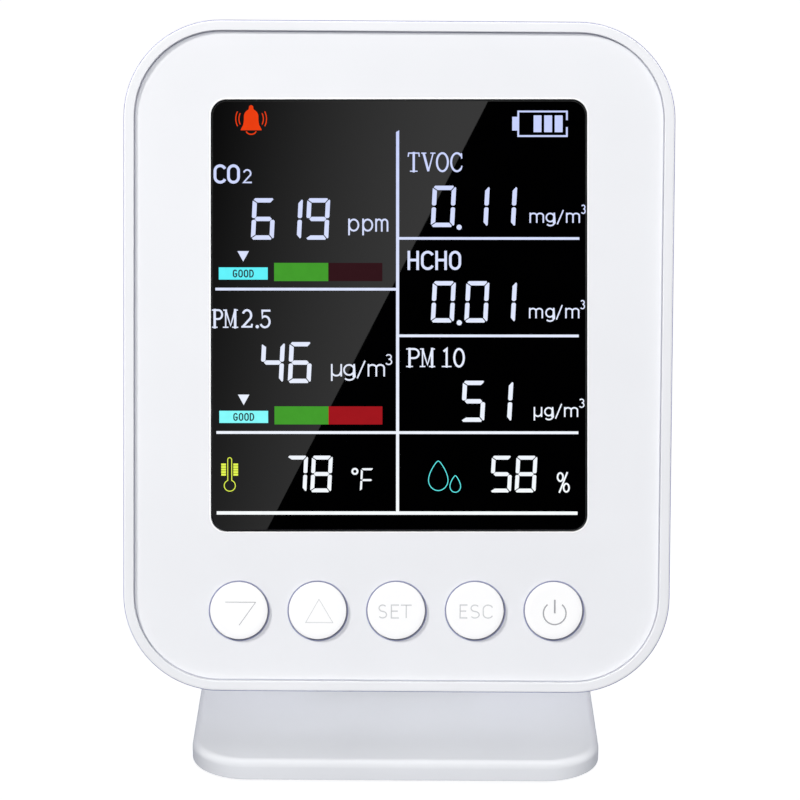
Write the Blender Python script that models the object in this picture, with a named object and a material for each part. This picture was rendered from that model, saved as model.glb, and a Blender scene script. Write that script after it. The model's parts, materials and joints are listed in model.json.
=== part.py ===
"""Desktop air quality monitor on a tilting foot, built as separate solids.

Frame: metres, +Z up, the screen faces -Y. The origin is the centre of the underside of the
foot, on the surface that the monitor stands on.

All lengths below are in millimetres, and publish() turns them into metres. The head is drawn
upright on its own sheet: x to the right, y up from its bottom edge, and depth backwards from
its front rim. Two empties carry that sheet: one sits on the tilt hinge and leans it back.
"""

import math

import bmesh
import bpy
from mathutils import Matrix, Vector

MM = 0.001
GAP = 0.25  # between two solids that touch on the real object

# Head: the casing that holds the screen
HEAD_WIDTH = 110.0
HEAD_HEIGHT = 134.6
HEAD_DEPTH = 28.0
HEAD_CORNER = 19.4
WALL = 2.1
PARTING_DEPTH = 9.0  # where the front frame meets the rear cover
REAR_FILLET = 6.0
PANEL_DEPTH = 0.9  # the front panel lies this far behind the rim
PANEL_THICKNESS = 2.0
LEDGE_DEPTH = PANEL_DEPTH + PANEL_THICKNESS + GAP
BOARD_DEPTH = 9.8
BOARD_THICKNESS = 1.6
BOARD_BACK = BOARD_DEPTH + BOARD_THICKNESS
REAR_WALL_DEPTH = HEAD_DEPTH - 2.0

# Window and screen
WINDOW_WIDTH = 75.3
WINDOW_HEIGHT = 86.4
WINDOW_CENTRE = 75.85  # height of its centre above the head's bottom edge
WINDOW_CORNER = 2.9

# Buttons
BUTTON_NAMES = ("down", "up", "set", "escape", "power")
BUTTON_PITCH = 15.86
BUTTON_HEIGHT = 16.6  # of the row above the head's bottom edge
BUTTON_RADIUS = 6.0
BUTTON_PROUD = 1.1  # above the front panel
STEM_RADIUS = 2.5
STEM_END = 7.2  # depth of the stems' ends at rest
SWITCH_FACE = 8.0  # depth at which the switches face the buttons

# Charging socket and buzzer, on the back of the board
SOCKET_HEIGHT = 34.0
SOCKET_SIZE = (8.9, 3.2)
SOCKET_DEPTH = BOARD_BACK + GAP + SOCKET_SIZE[1] / 2
BUZZER = (-40.0, 25.0)

# Screws that hold the rear cover to the front frame
CASE_SCREW_X = 46.0
CASE_SCREW_INSET = 10.5  # from the head's top and bottom edges
SCREW_HOLE = 1.4
SCREW_SHAFT = 1.1

# Dust sensor with its fan
DUST_SENSOR = (24.5, 97.0)
DUST_SENSOR_SIZE = (37.0, 46.0)
DUST_SENSOR_DEPTH = (BOARD_BACK + 0.4, 23.0)
FAN_CENTRE = (30.5, 108.5)
FAN_RADIUS = 8.0
FAN_BLADES = 9

# Foot
FOOT_WIDTH = 82.3
FOOT_DEPTH = 78.0
FOOT_BOTTOM = 0.8  # the pad's thickness
FOOT_TOP = 5.0
FOOT_FILLET = 1.6
FOOT_CORNER = 11.6
FOOT_WALL = 1.9
FOOT_ROOF = 1.6
BASE_PLATE = 0.8
WEIGHT_INSET = 5.5
PAD_INSET = 5.0

# Tilt hinge
LEAN_DEG = 14.0  # how far the head leans back from upright at rest
HINGE_Y = 15.3
HINGE_Z = 35.3
HINGE_ON_HEAD = (30.0, 36.5)  # height and depth of the axis on the head's sheet
BARREL_RADIUS = 5.2
NECK_HALF_WIDTH = 18.0
EAR_INNER = 18.9
EAR_OUTER = 22.9
PIN_RADIUS = 2.0
NECK_SCREW_X = 10.0
NECK_SCREW_Y = 18.0
BRACKET_SCREW_X = 27.0
BRACKET_PLATE = (64.0, 17.0, 2.2)

CORNER_STEPS = 8
ROUND_STEPS = 28
SMALL_ROUND_STEPS = 16
SMOOTH_BELOW = math.radians(35)
CORNER_SIGNS = ((1, -1), (1, 1), (-1, 1), (-1, -1))


# ---------------------------------------------------------------- outlines and meshes


def rounded_rectangle(width, height, radius, centre=(0.0, 0.0), steps=CORNER_STEPS):
    """Counter-clockwise (x, y) points."""
    points = []
    for quarter, (side_x, side_y) in enumerate(CORNER_SIGNS):
        corner_x = centre[0] + side_x * (width / 2 - radius)
        corner_y = centre[1] + side_y * (height / 2 - radius)
        for step in range(steps + 1):
            angle = (quarter - 1 + step / steps) * math.pi / 2
            points.append((corner_x + radius * math.cos(angle), corner_y + radius * math.sin(angle)))
    return points


def circle(radius, steps=ROUND_STEPS, centre=(0.0, 0.0)):
    turns = [2 * math.pi * step / steps for step in range(steps)]
    return [(centre[0] + radius * math.cos(a), centre[1] + radius * math.sin(a)) for a in turns]


def arc(centre, radius, start_deg, end_deg, steps):
    """Points from one angle to the other, both ends included."""
    angles = [math.radians(start_deg + (end_deg - start_deg) * step / steps) for step in range(steps + 1)]
    return [(centre[0] + radius * math.cos(a), centre[1] + radius * math.sin(a)) for a in angles]


def head_outline(inset):
    """The head's outline, moved inwards."""
    return rounded_rectangle(
        HEAD_WIDTH - 2 * inset, HEAD_HEIGHT - 2 * inset, HEAD_CORNER - inset, (0.0, HEAD_HEIGHT / 2)
    )


def at_level(points, level):
    return [(x, y, level) for x, y in points]


def loft(rings, closed=False):
    """A skin through rings of equally many points, capped at both ends unless it closes on itself."""
    bm = bmesh.new()
    loops = [[bm.verts.new(point) for point in ring] for ring in rings]
    pairs = list(zip(loops, loops[1:]))
    if closed:
        pairs.append((loops[-1], loops[0]))
    else:
        bm.faces.new(loops[0])
        bm.faces.new(loops[-1])
    for near, far in pairs:
        for i in range(len(near)):
            j = (i + 1) % len(near)
            bm.faces.new((near[i], near[j], far[j], far[i]))
    bmesh.ops.recalc_face_normals(bm, faces=bm.faces)
    return bm


def prism(outline, low, high):
    return loft([at_level(outline, low), at_level(outline, high)])


def box(size_x, size_y, low, high, centre=(0.0, 0.0)):
    x, y = centre
    corners = [(x + size_x * side_x / 2, y + size_y * side_y / 2) for side_x, side_y in CORNER_SIGNS]
    return prism(corners, low, high)


def turned(profile, steps=ROUND_STEPS, centre=(0.0, 0.0)):
    """A round solid about the sheet's normal, from (radius, level) points."""
    return loft([at_level(circle(radius, steps, centre), level) for radius, level in profile])


def merged(*parts):
    """Several meshes as one, such as the slots of one cutter."""
    whole = bmesh.new()
    for part in parts:
        mesh = bpy.data.meshes.new("piece")
        part.to_mesh(mesh)
        part.free()
        whole.from_mesh(mesh)
        bpy.data.meshes.remove(mesh)
    return whole


def drills(places, radius, low, high, steps=SMALL_ROUND_STEPS):
    """One cutter for a round hole at each place."""
    return merged(*[turned([(radius, low), (radius, high)], steps, place) for place in places])


def washer(inner_radius, outer_radius, low, high):
    inner = circle(inner_radius, SMALL_ROUND_STEPS)
    outer = circle(outer_radius, SMALL_ROUND_STEPS)
    corners = ((inner, low), (outer, low), (outer, high), (inner, high))
    return loft([at_level(outline, level) for outline, level in corners], True)


def turned_to(bm, matrix):
    bmesh.ops.transform(bm, matrix=matrix, verts=bm.verts)
    return bm


def along_x(bm):
    """Turns a mesh drawn about the sheet's normal so that its axis runs along x."""
    return turned_to(bm, Matrix.Rotation(math.pi / 2, 4, "Y"))


# ---------------------------------------------------------------- objects


def linear(channel):
    channel /= 255
    return channel / 12.92 if channel <= 0.04045 else ((channel + 0.055) / 1.055) ** 2.4


def material(name, rgb, roughness, metallic=0.0):
    made = bpy.data.materials.new(name)
    made.use_nodes = True
    shader = made.node_tree.nodes["Principled BSDF"]
    shader.inputs["Base Color"].default_value = (*(linear(c) for c in rgb), 1.0)
    shader.inputs["Roughness"].default_value = roughness
    shader.inputs["Metallic"].default_value = metallic
    return made


def publish(name, bm, look, parent, location=(0.0, 0.0, 0.0), rotation=(0.0, 0.0, 0.0)):
    """Makes a named object of a mesh drawn in millimetres."""
    turned_to(bm, Matrix.Scale(MM, 4))
    mesh = bpy.data.meshes.new(name)
    bm.to_mesh(mesh)
    bm.free()
    mesh.shade_smooth()
    mesh.set_sharp_from_angle(angle=SMOOTH_BELOW)
    obj = bpy.data.objects.new(name, mesh)
    if look is not None:
        mesh.materials.append(look)
    bpy.context.scene.collection.objects.link(obj)
    obj.parent = parent
    obj.location = Vector(location) * MM
    obj.rotation_euler = rotation
    return obj


def combine(target, bm, operation, label):
    """Joins a mesh to an object, or cuts it away, in the object's own sheet."""
    tool = publish(f"{target.name}_{label}", bm, None, target.parent, rotation=target.rotation_euler)
    tool.location = target.location
    tool.hide_render = True
    tool.display_type = "WIRE"
    modifier = target.modifiers.new(label, "BOOLEAN")
    modifier.operation = operation
    modifier.solver = "EXACT"
    modifier.object = tool


def join(target, bm, label):
    combine(target, bm, "UNION", label)


def cut(target, bm, label):
    combine(target, bm, "DIFFERENCE", label)


def soften(target, width, segments=2):
    """Rounds every sharp edge of an object."""
    modifier = target.modifiers.new("edges", "BEVEL")
    modifier.width = width * MM
    modifier.segments = segments
    modifier.limit_method = "ANGLE"
    modifier.angle_limit = math.radians(40)


def empty(name, parent, location, rotation):
    obj = bpy.data.objects.new(name, None)
    bpy.context.scene.collection.objects.link(obj)
    obj.parent = parent
    obj.location = Vector(location) * MM
    obj.rotation_euler = rotation
    return obj


# ---------------------------------------------------------------- casing


def case_screw_places():
    heights = (CASE_SCREW_INSET, HEAD_HEIGHT - CASE_SCREW_INSET)
    return [(x, y) for x in (-CASE_SCREW_X, CASE_SCREW_X) for y in heights]


def bracket_screw_places():
    return [(x, HINGE_ON_HEAD[0]) for x in (-BRACKET_SCREW_X, BRACKET_SCREW_X)]


def corner_rib(x, y, low, high):
    """A rib from a screw post out to the casing's wall at the nearest corner."""
    corner_centre = Vector((HEAD_WIDTH / 2 - HEAD_CORNER, HEAD_HEIGHT / 2 - HEAD_CORNER))
    from_middle = Vector((x, y - HEAD_HEIGHT / 2))
    side = Vector((math.copysign(1, from_middle.x), math.copysign(1, from_middle.y)))
    outwards = from_middle - Vector((corner_centre.x * side.x, corner_centre.y * side.y))
    rib = box(5.4, 2.2, low, high, (2.7, 0.0))
    turned_to(rib, Matrix.Rotation(math.atan2(outwards.y, outwards.x), 4, "Z"))
    return turned_to(rib, Matrix.Translation((x, y, 0.0)))


def front_frame(look, sheet):
    """The ring around the front panel, with a ledge behind the panel and a tongue at its back."""
    tongue = PARTING_DEPTH + 1.3
    section = [(0.0, PARTING_DEPTH), (0.0, 1.0), (0.29, 0.29), (1.0, 0.0), (WALL - 0.35, 0.0)]
    section += [(WALL, 0.35), (WALL, LEDGE_DEPTH), (4.3, LEDGE_DEPTH), (4.3, 4.9), (WALL, 4.9)]
    section += [(WALL, tongue), (WALL - 0.75, tongue), (WALL - 0.75, PARTING_DEPTH)]
    rings = [at_level(head_outline(inset), -depth) for inset, depth in section]
    frame = publish("front_frame", loft(rings, True), look, sheet)
    for number, (x, y) in enumerate(case_screw_places()):
        join(frame, corner_rib(x, y, -9.0, -4.0), f"rib_{number}")
        join(frame, turned([(2.8, -10.4), (2.8, -3.9)], SMALL_ROUND_STEPS, (x, y)), f"post_{number}")
    cut(frame, drills(case_screw_places(), SCREW_HOLE, -12.0, -5.6), "screw_holes")


def front_panel(look, sheet):
    """The flat face that carries the window and the button holes."""
    back = -(PANEL_DEPTH + PANEL_THICKNESS)
    panel = publish("front_panel", prism(head_outline(WALL + GAP), back, -PANEL_DEPTH), look, sheet)
    centre = (0.0, WINDOW_CENTRE)
    chamfer = 0.4
    rings = []
    for grow, depth in ((0.0, 4.0), (0.0, PANEL_DEPTH + chamfer), (chamfer + 0.3, PANEL_DEPTH - 0.3)):
        outline = rounded_rectangle(
            WINDOW_WIDTH + 2 * grow, WINDOW_HEIGHT + 2 * grow, WINDOW_CORNER + grow, centre, 5
        )
        rings.append(at_level(outline, -depth))
    cut(panel, loft(rings), "window")
    holes = drills(button_places(), BUTTON_RADIUS + GAP, -4.0, 0.0, ROUND_STEPS)
    cut(panel, holes, "button_holes")


def slot(length, height, low, high, centre):
    return prism(rounded_rectangle(length, height, height / 2, centre, 3), low, high)


def vent_cutters():
    """Air slots: two columns across the back, one column through each side wall."""
    slots = []
    for row in range(6):
        for x in (-21.0, 21.0):
            slots.append(slot(30.0, 1.8, -30.0, -25.0, (x, 96.0 + 4.0 * row)))
    for row in range(8):
        for x in (-HEAD_WIDTH / 2, HEAD_WIDTH / 2):
            slots.append(box(8.0, 1.6, -21.0, -13.0, (x, 84.0 + 4.0 * row)))
    return merged(*slots)


def rear_cover(look, sheet):
    """The back shell, with its posts, vents, charging slot and screw wells."""
    front = PARTING_DEPTH + GAP
    rings = []
    for x, depth in arc((REAR_FILLET, HEAD_DEPTH - REAR_FILLET), REAR_FILLET, 90, 180, 4):
        rings.append((x, depth))
    rings += [(0.0, front), (WALL - 1.0, front), (WALL - 1.0, front + 1.35), (WALL, front + 1.35)]
    inner = REAR_FILLET - WALL
    rings += arc((REAR_FILLET, REAR_WALL_DEPTH - inner), inner, 180, 90, 4)
    cover = publish("rear_cover", loft([at_level(head_outline(i), -d) for i, d in rings]), look, sheet)
    for number, (x, y) in enumerate(case_screw_places()):
        join(cover, turned([(3.4, -26.8), (3.4, -10.7)], SMALL_ROUND_STEPS, (x, y)), f"post_{number}")
    for number, place in enumerate(bracket_screw_places()):
        join(cover, turned([(3.0, -26.8), (3.0, -20.0)], SMALL_ROUND_STEPS, place), f"boss_{number}")
    well = [(2.4, -30.0), (2.4, -19.0), (SCREW_HOLE, -19.0), (SCREW_HOLE, -9.0)]
    wells = [turned(well, SMALL_ROUND_STEPS, place) for place in case_screw_places()]
    cut(cover, merged(*wells), "screw_wells")
    cut(cover, drills(bracket_screw_places(), SCREW_HOLE, -30.0, -20.6), "boss_holes")
    cut(cover, vent_cutters(), "vents")
    sound = [(0.0, 0.0), (3.0, 0.0), (-3.0, 0.0), (0.0, 3.0), (0.0, -3.0)]
    sound_places = [(BUZZER[0] + x, BUZZER[1] + y) for x, y in sound]
    cut(cover, drills(sound_places, 0.8, -30.0, -25.0, 12), "sound_holes")
    length, height = SOCKET_SIZE
    port = along_x(prism(rounded_rectangle(height + 0.6, length + 0.6, 1.85, steps=4), 51.0, 57.0))
    cut(cover, turned_to(port, Matrix.Translation((0.0, SOCKET_HEIGHT, -SOCKET_DEPTH))), "charging_slot")


def case_screws(look, sheet):
    """Pan-head screws, seated in the rear cover's wells."""
    profile = [(SCREW_SHAFT, 12.3), (SCREW_SHAFT, 0.0), (2.0, 0.0), (2.0, -1.0), (1.4, -1.6)]
    for number, (x, y) in enumerate(case_screw_places()):
        screw = turned(profile, SMALL_ROUND_STEPS)
        made = publish(f"case_screw_{number + 1}", screw, look, sheet, (x, y, -19.3))
        cut(made, cross_recess(-1.6), "cross")


def cross_recess(level, reach=1.1, half_width=0.25, depth=0.8):
    """The crossed slots of a screw head whose face looks down the sheet's normal at this level."""
    outline = []
    for cosine, sine in ((1, 0), (0, 1), (-1, 0), (0, -1)):
        for x, y in ((reach, -half_width), (reach, half_width), (half_width, half_width)):
            outline.append((x * cosine - y * sine, x * sine + y * cosine))
    return prism(outline, level - 0.5, level + depth)


# ---------------------------------------------------------------- screen


def screen(looks, sheet):
    """The window lens, the display glass, its backlight and the holder behind the panel."""
    centre = (0.0, WINDOW_CENTRE)
    lens_gap = 0.3
    outline = rounded_rectangle(
        WINDOW_WIDTH - 2 * lens_gap, WINDOW_HEIGHT - 2 * lens_gap, WINDOW_CORNER - lens_gap, centre, 5
    )
    publish("display_lens", prism(outline, -2.7, -1.0), looks["lens"], sheet)
    publish("display_glass", box(78.5, 90.5, -5.2, -3.2, (0.0, 75.75)), looks["display"], sheet)
    publish("display_backlight", box(77.5, 87.0, -8.2, -5.45, (0.0, 77.2)), looks["diffuser"], sheet)
    section = [(0.0, 3.2), (1.55, 3.2), (1.55, 8.45), (5.0, 8.45), (5.0, 9.3), (0.0, 9.3)]
    rings = []
    for inset, depth in section:
        outline = rounded_rectangle(82.1 - 2 * inset, 94.1 - 2 * inset, 0.4, (0.0, 75.75), 1)
        rings.append(at_level(outline, -depth))
    holder = publish("display_holder", loft(rings, True), looks["holder"], sheet)
    cut(holder, box(32.0, 8.0, -9.8, -5.3, (0.0, 30.6)), "ribbon_gate")


def ribbon_section():
    """The flat cable's side view: down behind the glass, then back to its connector, as (height, depth)."""
    path = [(32.8, 5.65), (29.0, 5.65)] + arc((29.0, 7.45), 1.8, -90, -180, 5) + [(27.2, 8.2)]
    half = 0.12
    left, right = [], []
    for i, point in enumerate(path):
        before, after = path[max(i - 1, 0)], path[min(i + 1, len(path) - 1)]
        run = Vector((after[0] - before[0], after[1] - before[1])).normalized()
        left.append((point[0] - run.y * half, point[1] + run.x * half))
        right.append((point[0] + run.y * half, point[1] - run.x * half))
    return left + right[::-1]


def display_ribbon(looks, sheet):
    section = ribbon_section()
    rings = [[(x, height, -depth) for height, depth in section] for x in (-14.0, 14.0)]
    publish("display_ribbon", loft(rings), looks["ribbon"], sheet)
    connector = publish("ribbon_connector", box(30.0, 3.0, -9.55, -8.45, (0.0, 27.2)), looks["dark"], sheet)
    soften(connector, 0.15, 1)


# ---------------------------------------------------------------- buttons


def button_places():
    middle = (len(BUTTON_NAMES) - 1) / 2
    return [((number - middle) * BUTTON_PITCH, BUTTON_HEIGHT) for number in range(len(BUTTON_NAMES))]


def buttons(looks, sheet):
    """Each button is a cap with a flange behind the panel and a stem, over its own switch."""
    face = BUTTON_PROUD - PANEL_DEPTH
    cap = [(STEM_RADIUS, -STEM_END), (STEM_RADIUS, -4.0), (6.7, -4.0), (6.7, -3.2), (BUTTON_RADIUS, -3.2)]
    cap += [(BUTTON_RADIUS, face - 0.35), (BUTTON_RADIUS - 0.1, face - 0.1), (BUTTON_RADIUS - 0.35, face)]
    for name, (x, y) in zip(BUTTON_NAMES, button_places()):
        place = (x, y, 0.0)
        publish(f"button_{name}", turned(cap), looks["button"], sheet, place)
        plunger = turned([(1.4, -SWITCH_FACE - 0.7), (1.4, -STEM_END - GAP)], SMALL_ROUND_STEPS)
        publish(f"plunger_{name}", plunger, looks["dark"], sheet, place)
        base = publish(f"switch_{name}", box(6.2, 6.2, -9.55, -SWITCH_FACE), looks["steel"], sheet, place)
        cut(base, turned([(1.65, -9.42), (1.65, -7.0)], SMALL_ROUND_STEPS), "bore")


def button_guide(look, sheet):
    """The bar behind the panel that keeps the button stems square."""
    outline = rounded_rectangle(80.0, 15.6, 2.0, (0.0, BUTTON_HEIGHT), 3)
    guide = publish("button_guide", prism(outline, -6.1, -4.9), look, sheet)
    cut(guide, drills(button_places(), STEM_RADIUS + GAP, -7.0, -4.0), "stem_holes")


# ---------------------------------------------------------------- electronics


def main_board(look, sheet):
    board = publish("main_board", prism(head_outline(4.0), -BOARD_BACK, -BOARD_DEPTH), look, sheet)
    cut(board, drills(case_screw_places(), 4.2, -12.0, -9.0), "post_notches")


def on_board(name, bm, look, sheet, place, edge=0.3):
    """A component that stands on the back of the board, drawn from level 0 downwards."""
    part = publish(name, bm, look, sheet, (*place, -BOARD_BACK - GAP))
    if edge:
        soften(part, edge, 1)
    return part


def small_components(looks, sheet):
    on_board("controller_chip", box(12.0, 12.0, -1.4, 0.0), looks["chip"], sheet, (-2.0, 62.0))
    on_board("gas_sensor_chip", box(3.0, 3.0, -1.0, 0.0), looks["chip"], sheet, (6.0, 46.0), 0.0)
    on_board("climate_sensor_chip", box(3.0, 3.0, -1.0, 0.0), looks["chip"], sheet, (-3.0, 117.0), 0.0)
    drum = turned([(5.8, 0.0), (6.0, -6.6), (5.6, -7.0)])
    buzzer = on_board("buzzer", drum, looks["dark"], sheet, BUZZER, 0.0)
    cut(buzzer, turned([(1.0, -8.0), (1.0, -4.0)], SMALL_ROUND_STEPS), "mouth")
    can = [(10.0, 0.0), (10.0, -5.6), (9.0, -6.4), (9.0, -8.3)]
    gas = on_board("formaldehyde_sensor", turned(can), looks["steel"], sheet, (31.0, 53.0), 0.0)
    cut(gas, turned([(3.0, -9.0), (3.0, -7.6)], SMALL_ROUND_STEPS), "inlet")


def carbon_dioxide_sensor(looks, sheet):
    """The infra-red cell on a board of its own."""
    place = (-30.0, 110.0)
    on_board("co2_sensor_board", box(32.0, 20.0, -1.2, 0.0), looks["board"], sheet, place, 0.0)
    rings = []
    for inset, level in ((0.0, -1.45), (0.0, -6.9), (0.8, -7.7)):
        outline = rounded_rectangle(28.0 - 2 * inset, 16.0 - 2 * inset, 3.0 - inset, steps=3)
        rings.append(at_level(outline, level))
    cell = on_board("co2_sensor_cell", loft(rings), looks["brass"], sheet, place, 0.0)
    windows = [box(7.0, 9.0, -8.5, -7.2, (x, 0.0)) for x in (-7.0, 7.0)]
    cut(cell, merged(*windows), "filters")


def battery(looks, sheet):
    """A flat rechargeable cell, its connector and the short lead between them."""
    cell = on_board("battery_cell", box(34.0, 50.0, -10.3, -0.3), looks["foil"], sheet, (-30.0, 69.0), 0.0)
    soften(cell, 1.6, 2)
    plug = (-22.0, 36.5)
    on_board("battery_connector", box(8.0, 6.0, -5.0, 0.0), looks["holder"], sheet, plug)
    points = [(-30.0, 43.7, 5.2), (-30.0, 42.4, 5.2), (-28.4, 41.2, 4.6), (-24.2, 41.4, 3.4)]
    points += [(-22.2, 41.2, 2.8), (-22.0, 40.6, 2.6), (-22.0, 39.8, 2.6)]
    curve = bpy.data.curves.new("battery_lead", "CURVE")
    curve.dimensions = "3D"
    spline = curve.splines.new("POLY")
    route = smooth_route([Vector(point) for point in points], 4)
    spline.points.add(len(route) - 1)
    for node, point in zip(spline.points, route):
        node.co = (*(Vector((point.x, point.y, -BOARD_BACK - point.z)) * MM), 1.0)
    curve.bevel_depth = 0.8 * MM
    curve.bevel_resolution = 2
    curve.use_fill_caps = True
    curve.materials.append(looks["lead"])
    lead = bpy.data.objects.new("battery_lead", curve)
    bpy.context.scene.collection.objects.link(lead)
    lead.parent = sheet


def smooth_route(points, steps):
    """Catmull-Rom points through a route."""
    ends = [points[0] * 2 - points[1], *points, points[-1] * 2 - points[-2]]
    route = []
    for a, b, c, d in zip(ends, ends[1:], ends[2:], ends[3:]):
        for step in range(steps):
            t = step / steps
            square = a * 2 - b * 5 + c * 4 - d
            cube = b * 3 - a - c * 3 + d
            route.append((b * 2 + (c - a) * t + square * t**2 + cube * t**3) / 2)
    return route + [points[-1]]


def dust_sensor(looks, sheet):
    """The laser particle counter: a tub, its laser block, the fan that draws air through, and a lid."""
    front, back = DUST_SENSOR_DEPTH
    wall = 1.0
    outer = rounded_rectangle(*DUST_SENSOR_SIZE, 1.5, DUST_SENSOR, 2)
    inner_size = (DUST_SENSOR_SIZE[0] - 2 * wall, DUST_SENSOR_SIZE[1] - 2 * wall)
    inner = rounded_rectangle(*inner_size, 0.6, DUST_SENSOR, 2)
    levels = ((outer, front), (outer, back), (inner, back), (inner, front + wall))
    tub = loft([at_level(outline, -depth) for outline, depth in levels])
    publish("dust_sensor_case", tub, looks["steel"], sheet)
    lid = publish("dust_sensor_lid", prism(outer, -back - GAP - 0.8, -back - GAP), looks["steel"], sheet)
    cut(lid, drills([FAN_CENTRE], FAN_RADIUS - 0.4, -26.0, -22.0, ROUND_STEPS), "outlet")
    block = publish("laser_block", box(26.0, 18.0, -20.0, -13.1, (24.5, 86.0)), looks["dark"], sheet)
    soften(block, 0.6, 1)
    fan_outline = []
    for blade in range(FAN_BLADES):
        for radius, share in ((3.4, 0.0), (FAN_RADIUS, 0.26), (FAN_RADIUS, 0.36), (3.4, 0.2), (3.4, 0.6)):
            angle = 2 * math.pi * (blade + share) / FAN_BLADES
            fan_outline.append((radius * math.cos(angle), radius * math.sin(angle)))
    publish("fan_rotor", prism(fan_outline, -21.6, -14.6), looks["dark"], sheet, (*FAN_CENTRE, 0.0))


def charging_socket(look, sheet):
    """A flat metal sleeve with a tongue, its mouth just inside the case wall."""
    place = (0.0, SOCKET_HEIGHT, -SOCKET_DEPTH)
    length, height = SOCKET_SIZE
    sleeve = along_x(prism(rounded_rectangle(height, length, 1.55, steps=4), 47.0, 54.4))
    socket = publish("charging_socket", sleeve, look, sheet, place)
    mouth = along_x(prism(rounded_rectangle(height - 0.6, length - 0.6, 1.25, steps=4), 48.2, 56.0))
    cut(socket, mouth, "mouth")
    join(socket, along_x(box(0.7, 6.6, 47.6, 53.6)), "tongue")


# ---------------------------------------------------------------- hinge and foot


def pin_bore(centre):
    bore = along_x(turned([(PIN_RADIUS + 0.15, -30.0), (PIN_RADIUS + 0.15, 30.0)], SMALL_ROUND_STEPS))
    return turned_to(bore, Matrix.Translation(centre))


def hinge_bracket(looks, sheet):
    """The plate on the rear cover whose two ears hold the hinge pin, with its screws."""
    height, depth = HINGE_ON_HEAD
    back = HEAD_DEPTH + GAP
    width, tall, thick = BRACKET_PLATE
    plate = prism(rounded_rectangle(width, tall, 3.0, (0.0, height), 3), -back - thick, -back)
    bracket = publish("hinge_bracket", plate, looks["casing"], sheet)
    side_view = [(height + 6.5, -back - 1.0)] + [
        (height + up, -depth - out) for up, out in arc((0.0, 0.0), BARREL_RADIUS, 0, 180, 10)
    ]
    side_view += [(height - 6.5, -back - 1.0)]
    for number, side in enumerate((-1, 1)):
        rings = [[(side * x, y, z) for y, z in side_view] for x in (EAR_INNER, EAR_OUTER)]
        join(bracket, loft(rings), f"ear_{number}")
    cut(bracket, pin_bore((0.0, height, -depth)), "pin_bore")
    cut(bracket, drills(bracket_screw_places(), SCREW_HOLE, -32.0, -26.0), "screw_holes")
    profile = [(SCREW_SHAFT, 9.4), (SCREW_SHAFT, 0.0), (2.2, 0.0), (2.2, -0.9), (1.5, -1.5)]
    for number, (x, y) in enumerate(bracket_screw_places()):
        screw = turned(profile, SMALL_ROUND_STEPS)
        level = -back - thick - GAP
        made = publish(f"bracket_screw_{number + 1}", screw, looks["steel"], sheet, (x, y, level))
        cut(made, cross_recess(-1.5), "cross")


def hinge_pin(looks, sheet):
    """The steel pin through both ears, and the clip on its far end."""
    height, depth = HINGE_ON_HEAD
    place = (0.0, height, -depth)
    end = EAR_OUTER + GAP
    pin = [(3.2, -end - 1.0), (3.2, -end), (PIN_RADIUS, -end), (PIN_RADIUS, end + 1.4)]
    publish("hinge_pin", along_x(turned(pin, SMALL_ROUND_STEPS)), looks["steel"], sheet, place)
    clip = washer(PIN_RADIUS + 0.1, 3.4, end, end + 0.7)
    publish("hinge_clip", along_x(clip), looks["steel"], sheet, place)


def hinge_washers(look, ground):
    """Friction washers between the neck's barrel and the ears."""
    for name, side in (("left", -1), ("right", 1)):
        low, high = sorted((side * (NECK_HALF_WIDTH + 0.2), side * (EAR_INNER - 0.2)))
        ring = along_x(washer(PIN_RADIUS + 0.2, 4.2, low, high))
        publish(f"hinge_washer_{name}", ring, look, ground, (0.0, HINGE_Y, HINGE_Z))


def flare(start, reach, drop, steps):
    """A quarter of an ellipse that runs down from a point and turns towards level ground."""
    angles = [math.radians(80) * step / steps for step in range(steps + 1)]
    return [(start[0] + reach * (1 - math.cos(a)), start[1] - drop * math.sin(a)) for a in angles]


def neck_side_view():
    """The neck seen from the side, as (y, z): a barrel on an arm that spreads onto the foot."""
    base = FOOT_TOP + GAP
    shoulder = HINGE_Z - 2.0
    front = flare((HINGE_Y - 5.0, base + 8.0), -5.0, 7.6, 5)
    back = flare((HINGE_Y + 5.0, shoulder), 15.0, shoulder - base - 0.6, 8)
    barrel = arc((HINGE_Y, HINGE_Z), BARREL_RADIUS, -15, 195, 16)
    return barrel + front + [(front[-1][0], base), (back[-1][0], base)] + back[::-1]


def neck_screw_places():
    return [(x, NECK_SCREW_Y) for x in (-NECK_SCREW_X, NECK_SCREW_X)]


def stand_neck(looks, ground):
    rings = [[(x, y, z) for y, z in neck_side_view()] for x in (-NECK_HALF_WIDTH, NECK_HALF_WIDTH)]
    neck = publish("stand_neck", loft(rings), looks["foot"], ground)
    cut(neck, pin_bore((0.0, HINGE_Y, HINGE_Z)), "pin_bore")
    cut(neck, drills(neck_screw_places(), SCREW_HOLE, 2.0, 15.0), "screw_holes")
    head_level = FOOT_TOP - FOOT_ROOF - GAP
    profile = [(1.9, -1.0), (2.4, -0.6), (2.4, 0.0), (SCREW_SHAFT, 0.0), (SCREW_SHAFT, 9.4)]
    for number, (x, y) in enumerate(neck_screw_places()):
        screw = turned(profile, SMALL_ROUND_STEPS)
        publish(f"neck_screw_{number + 1}", screw, looks["steel"], ground, (x, y, head_level))


def foot_outline(inset):
    width, depth = FOOT_WIDTH - 2 * inset, FOOT_DEPTH - 2 * inset
    return rounded_rectangle(width, depth, FOOT_CORNER - inset)


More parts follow.
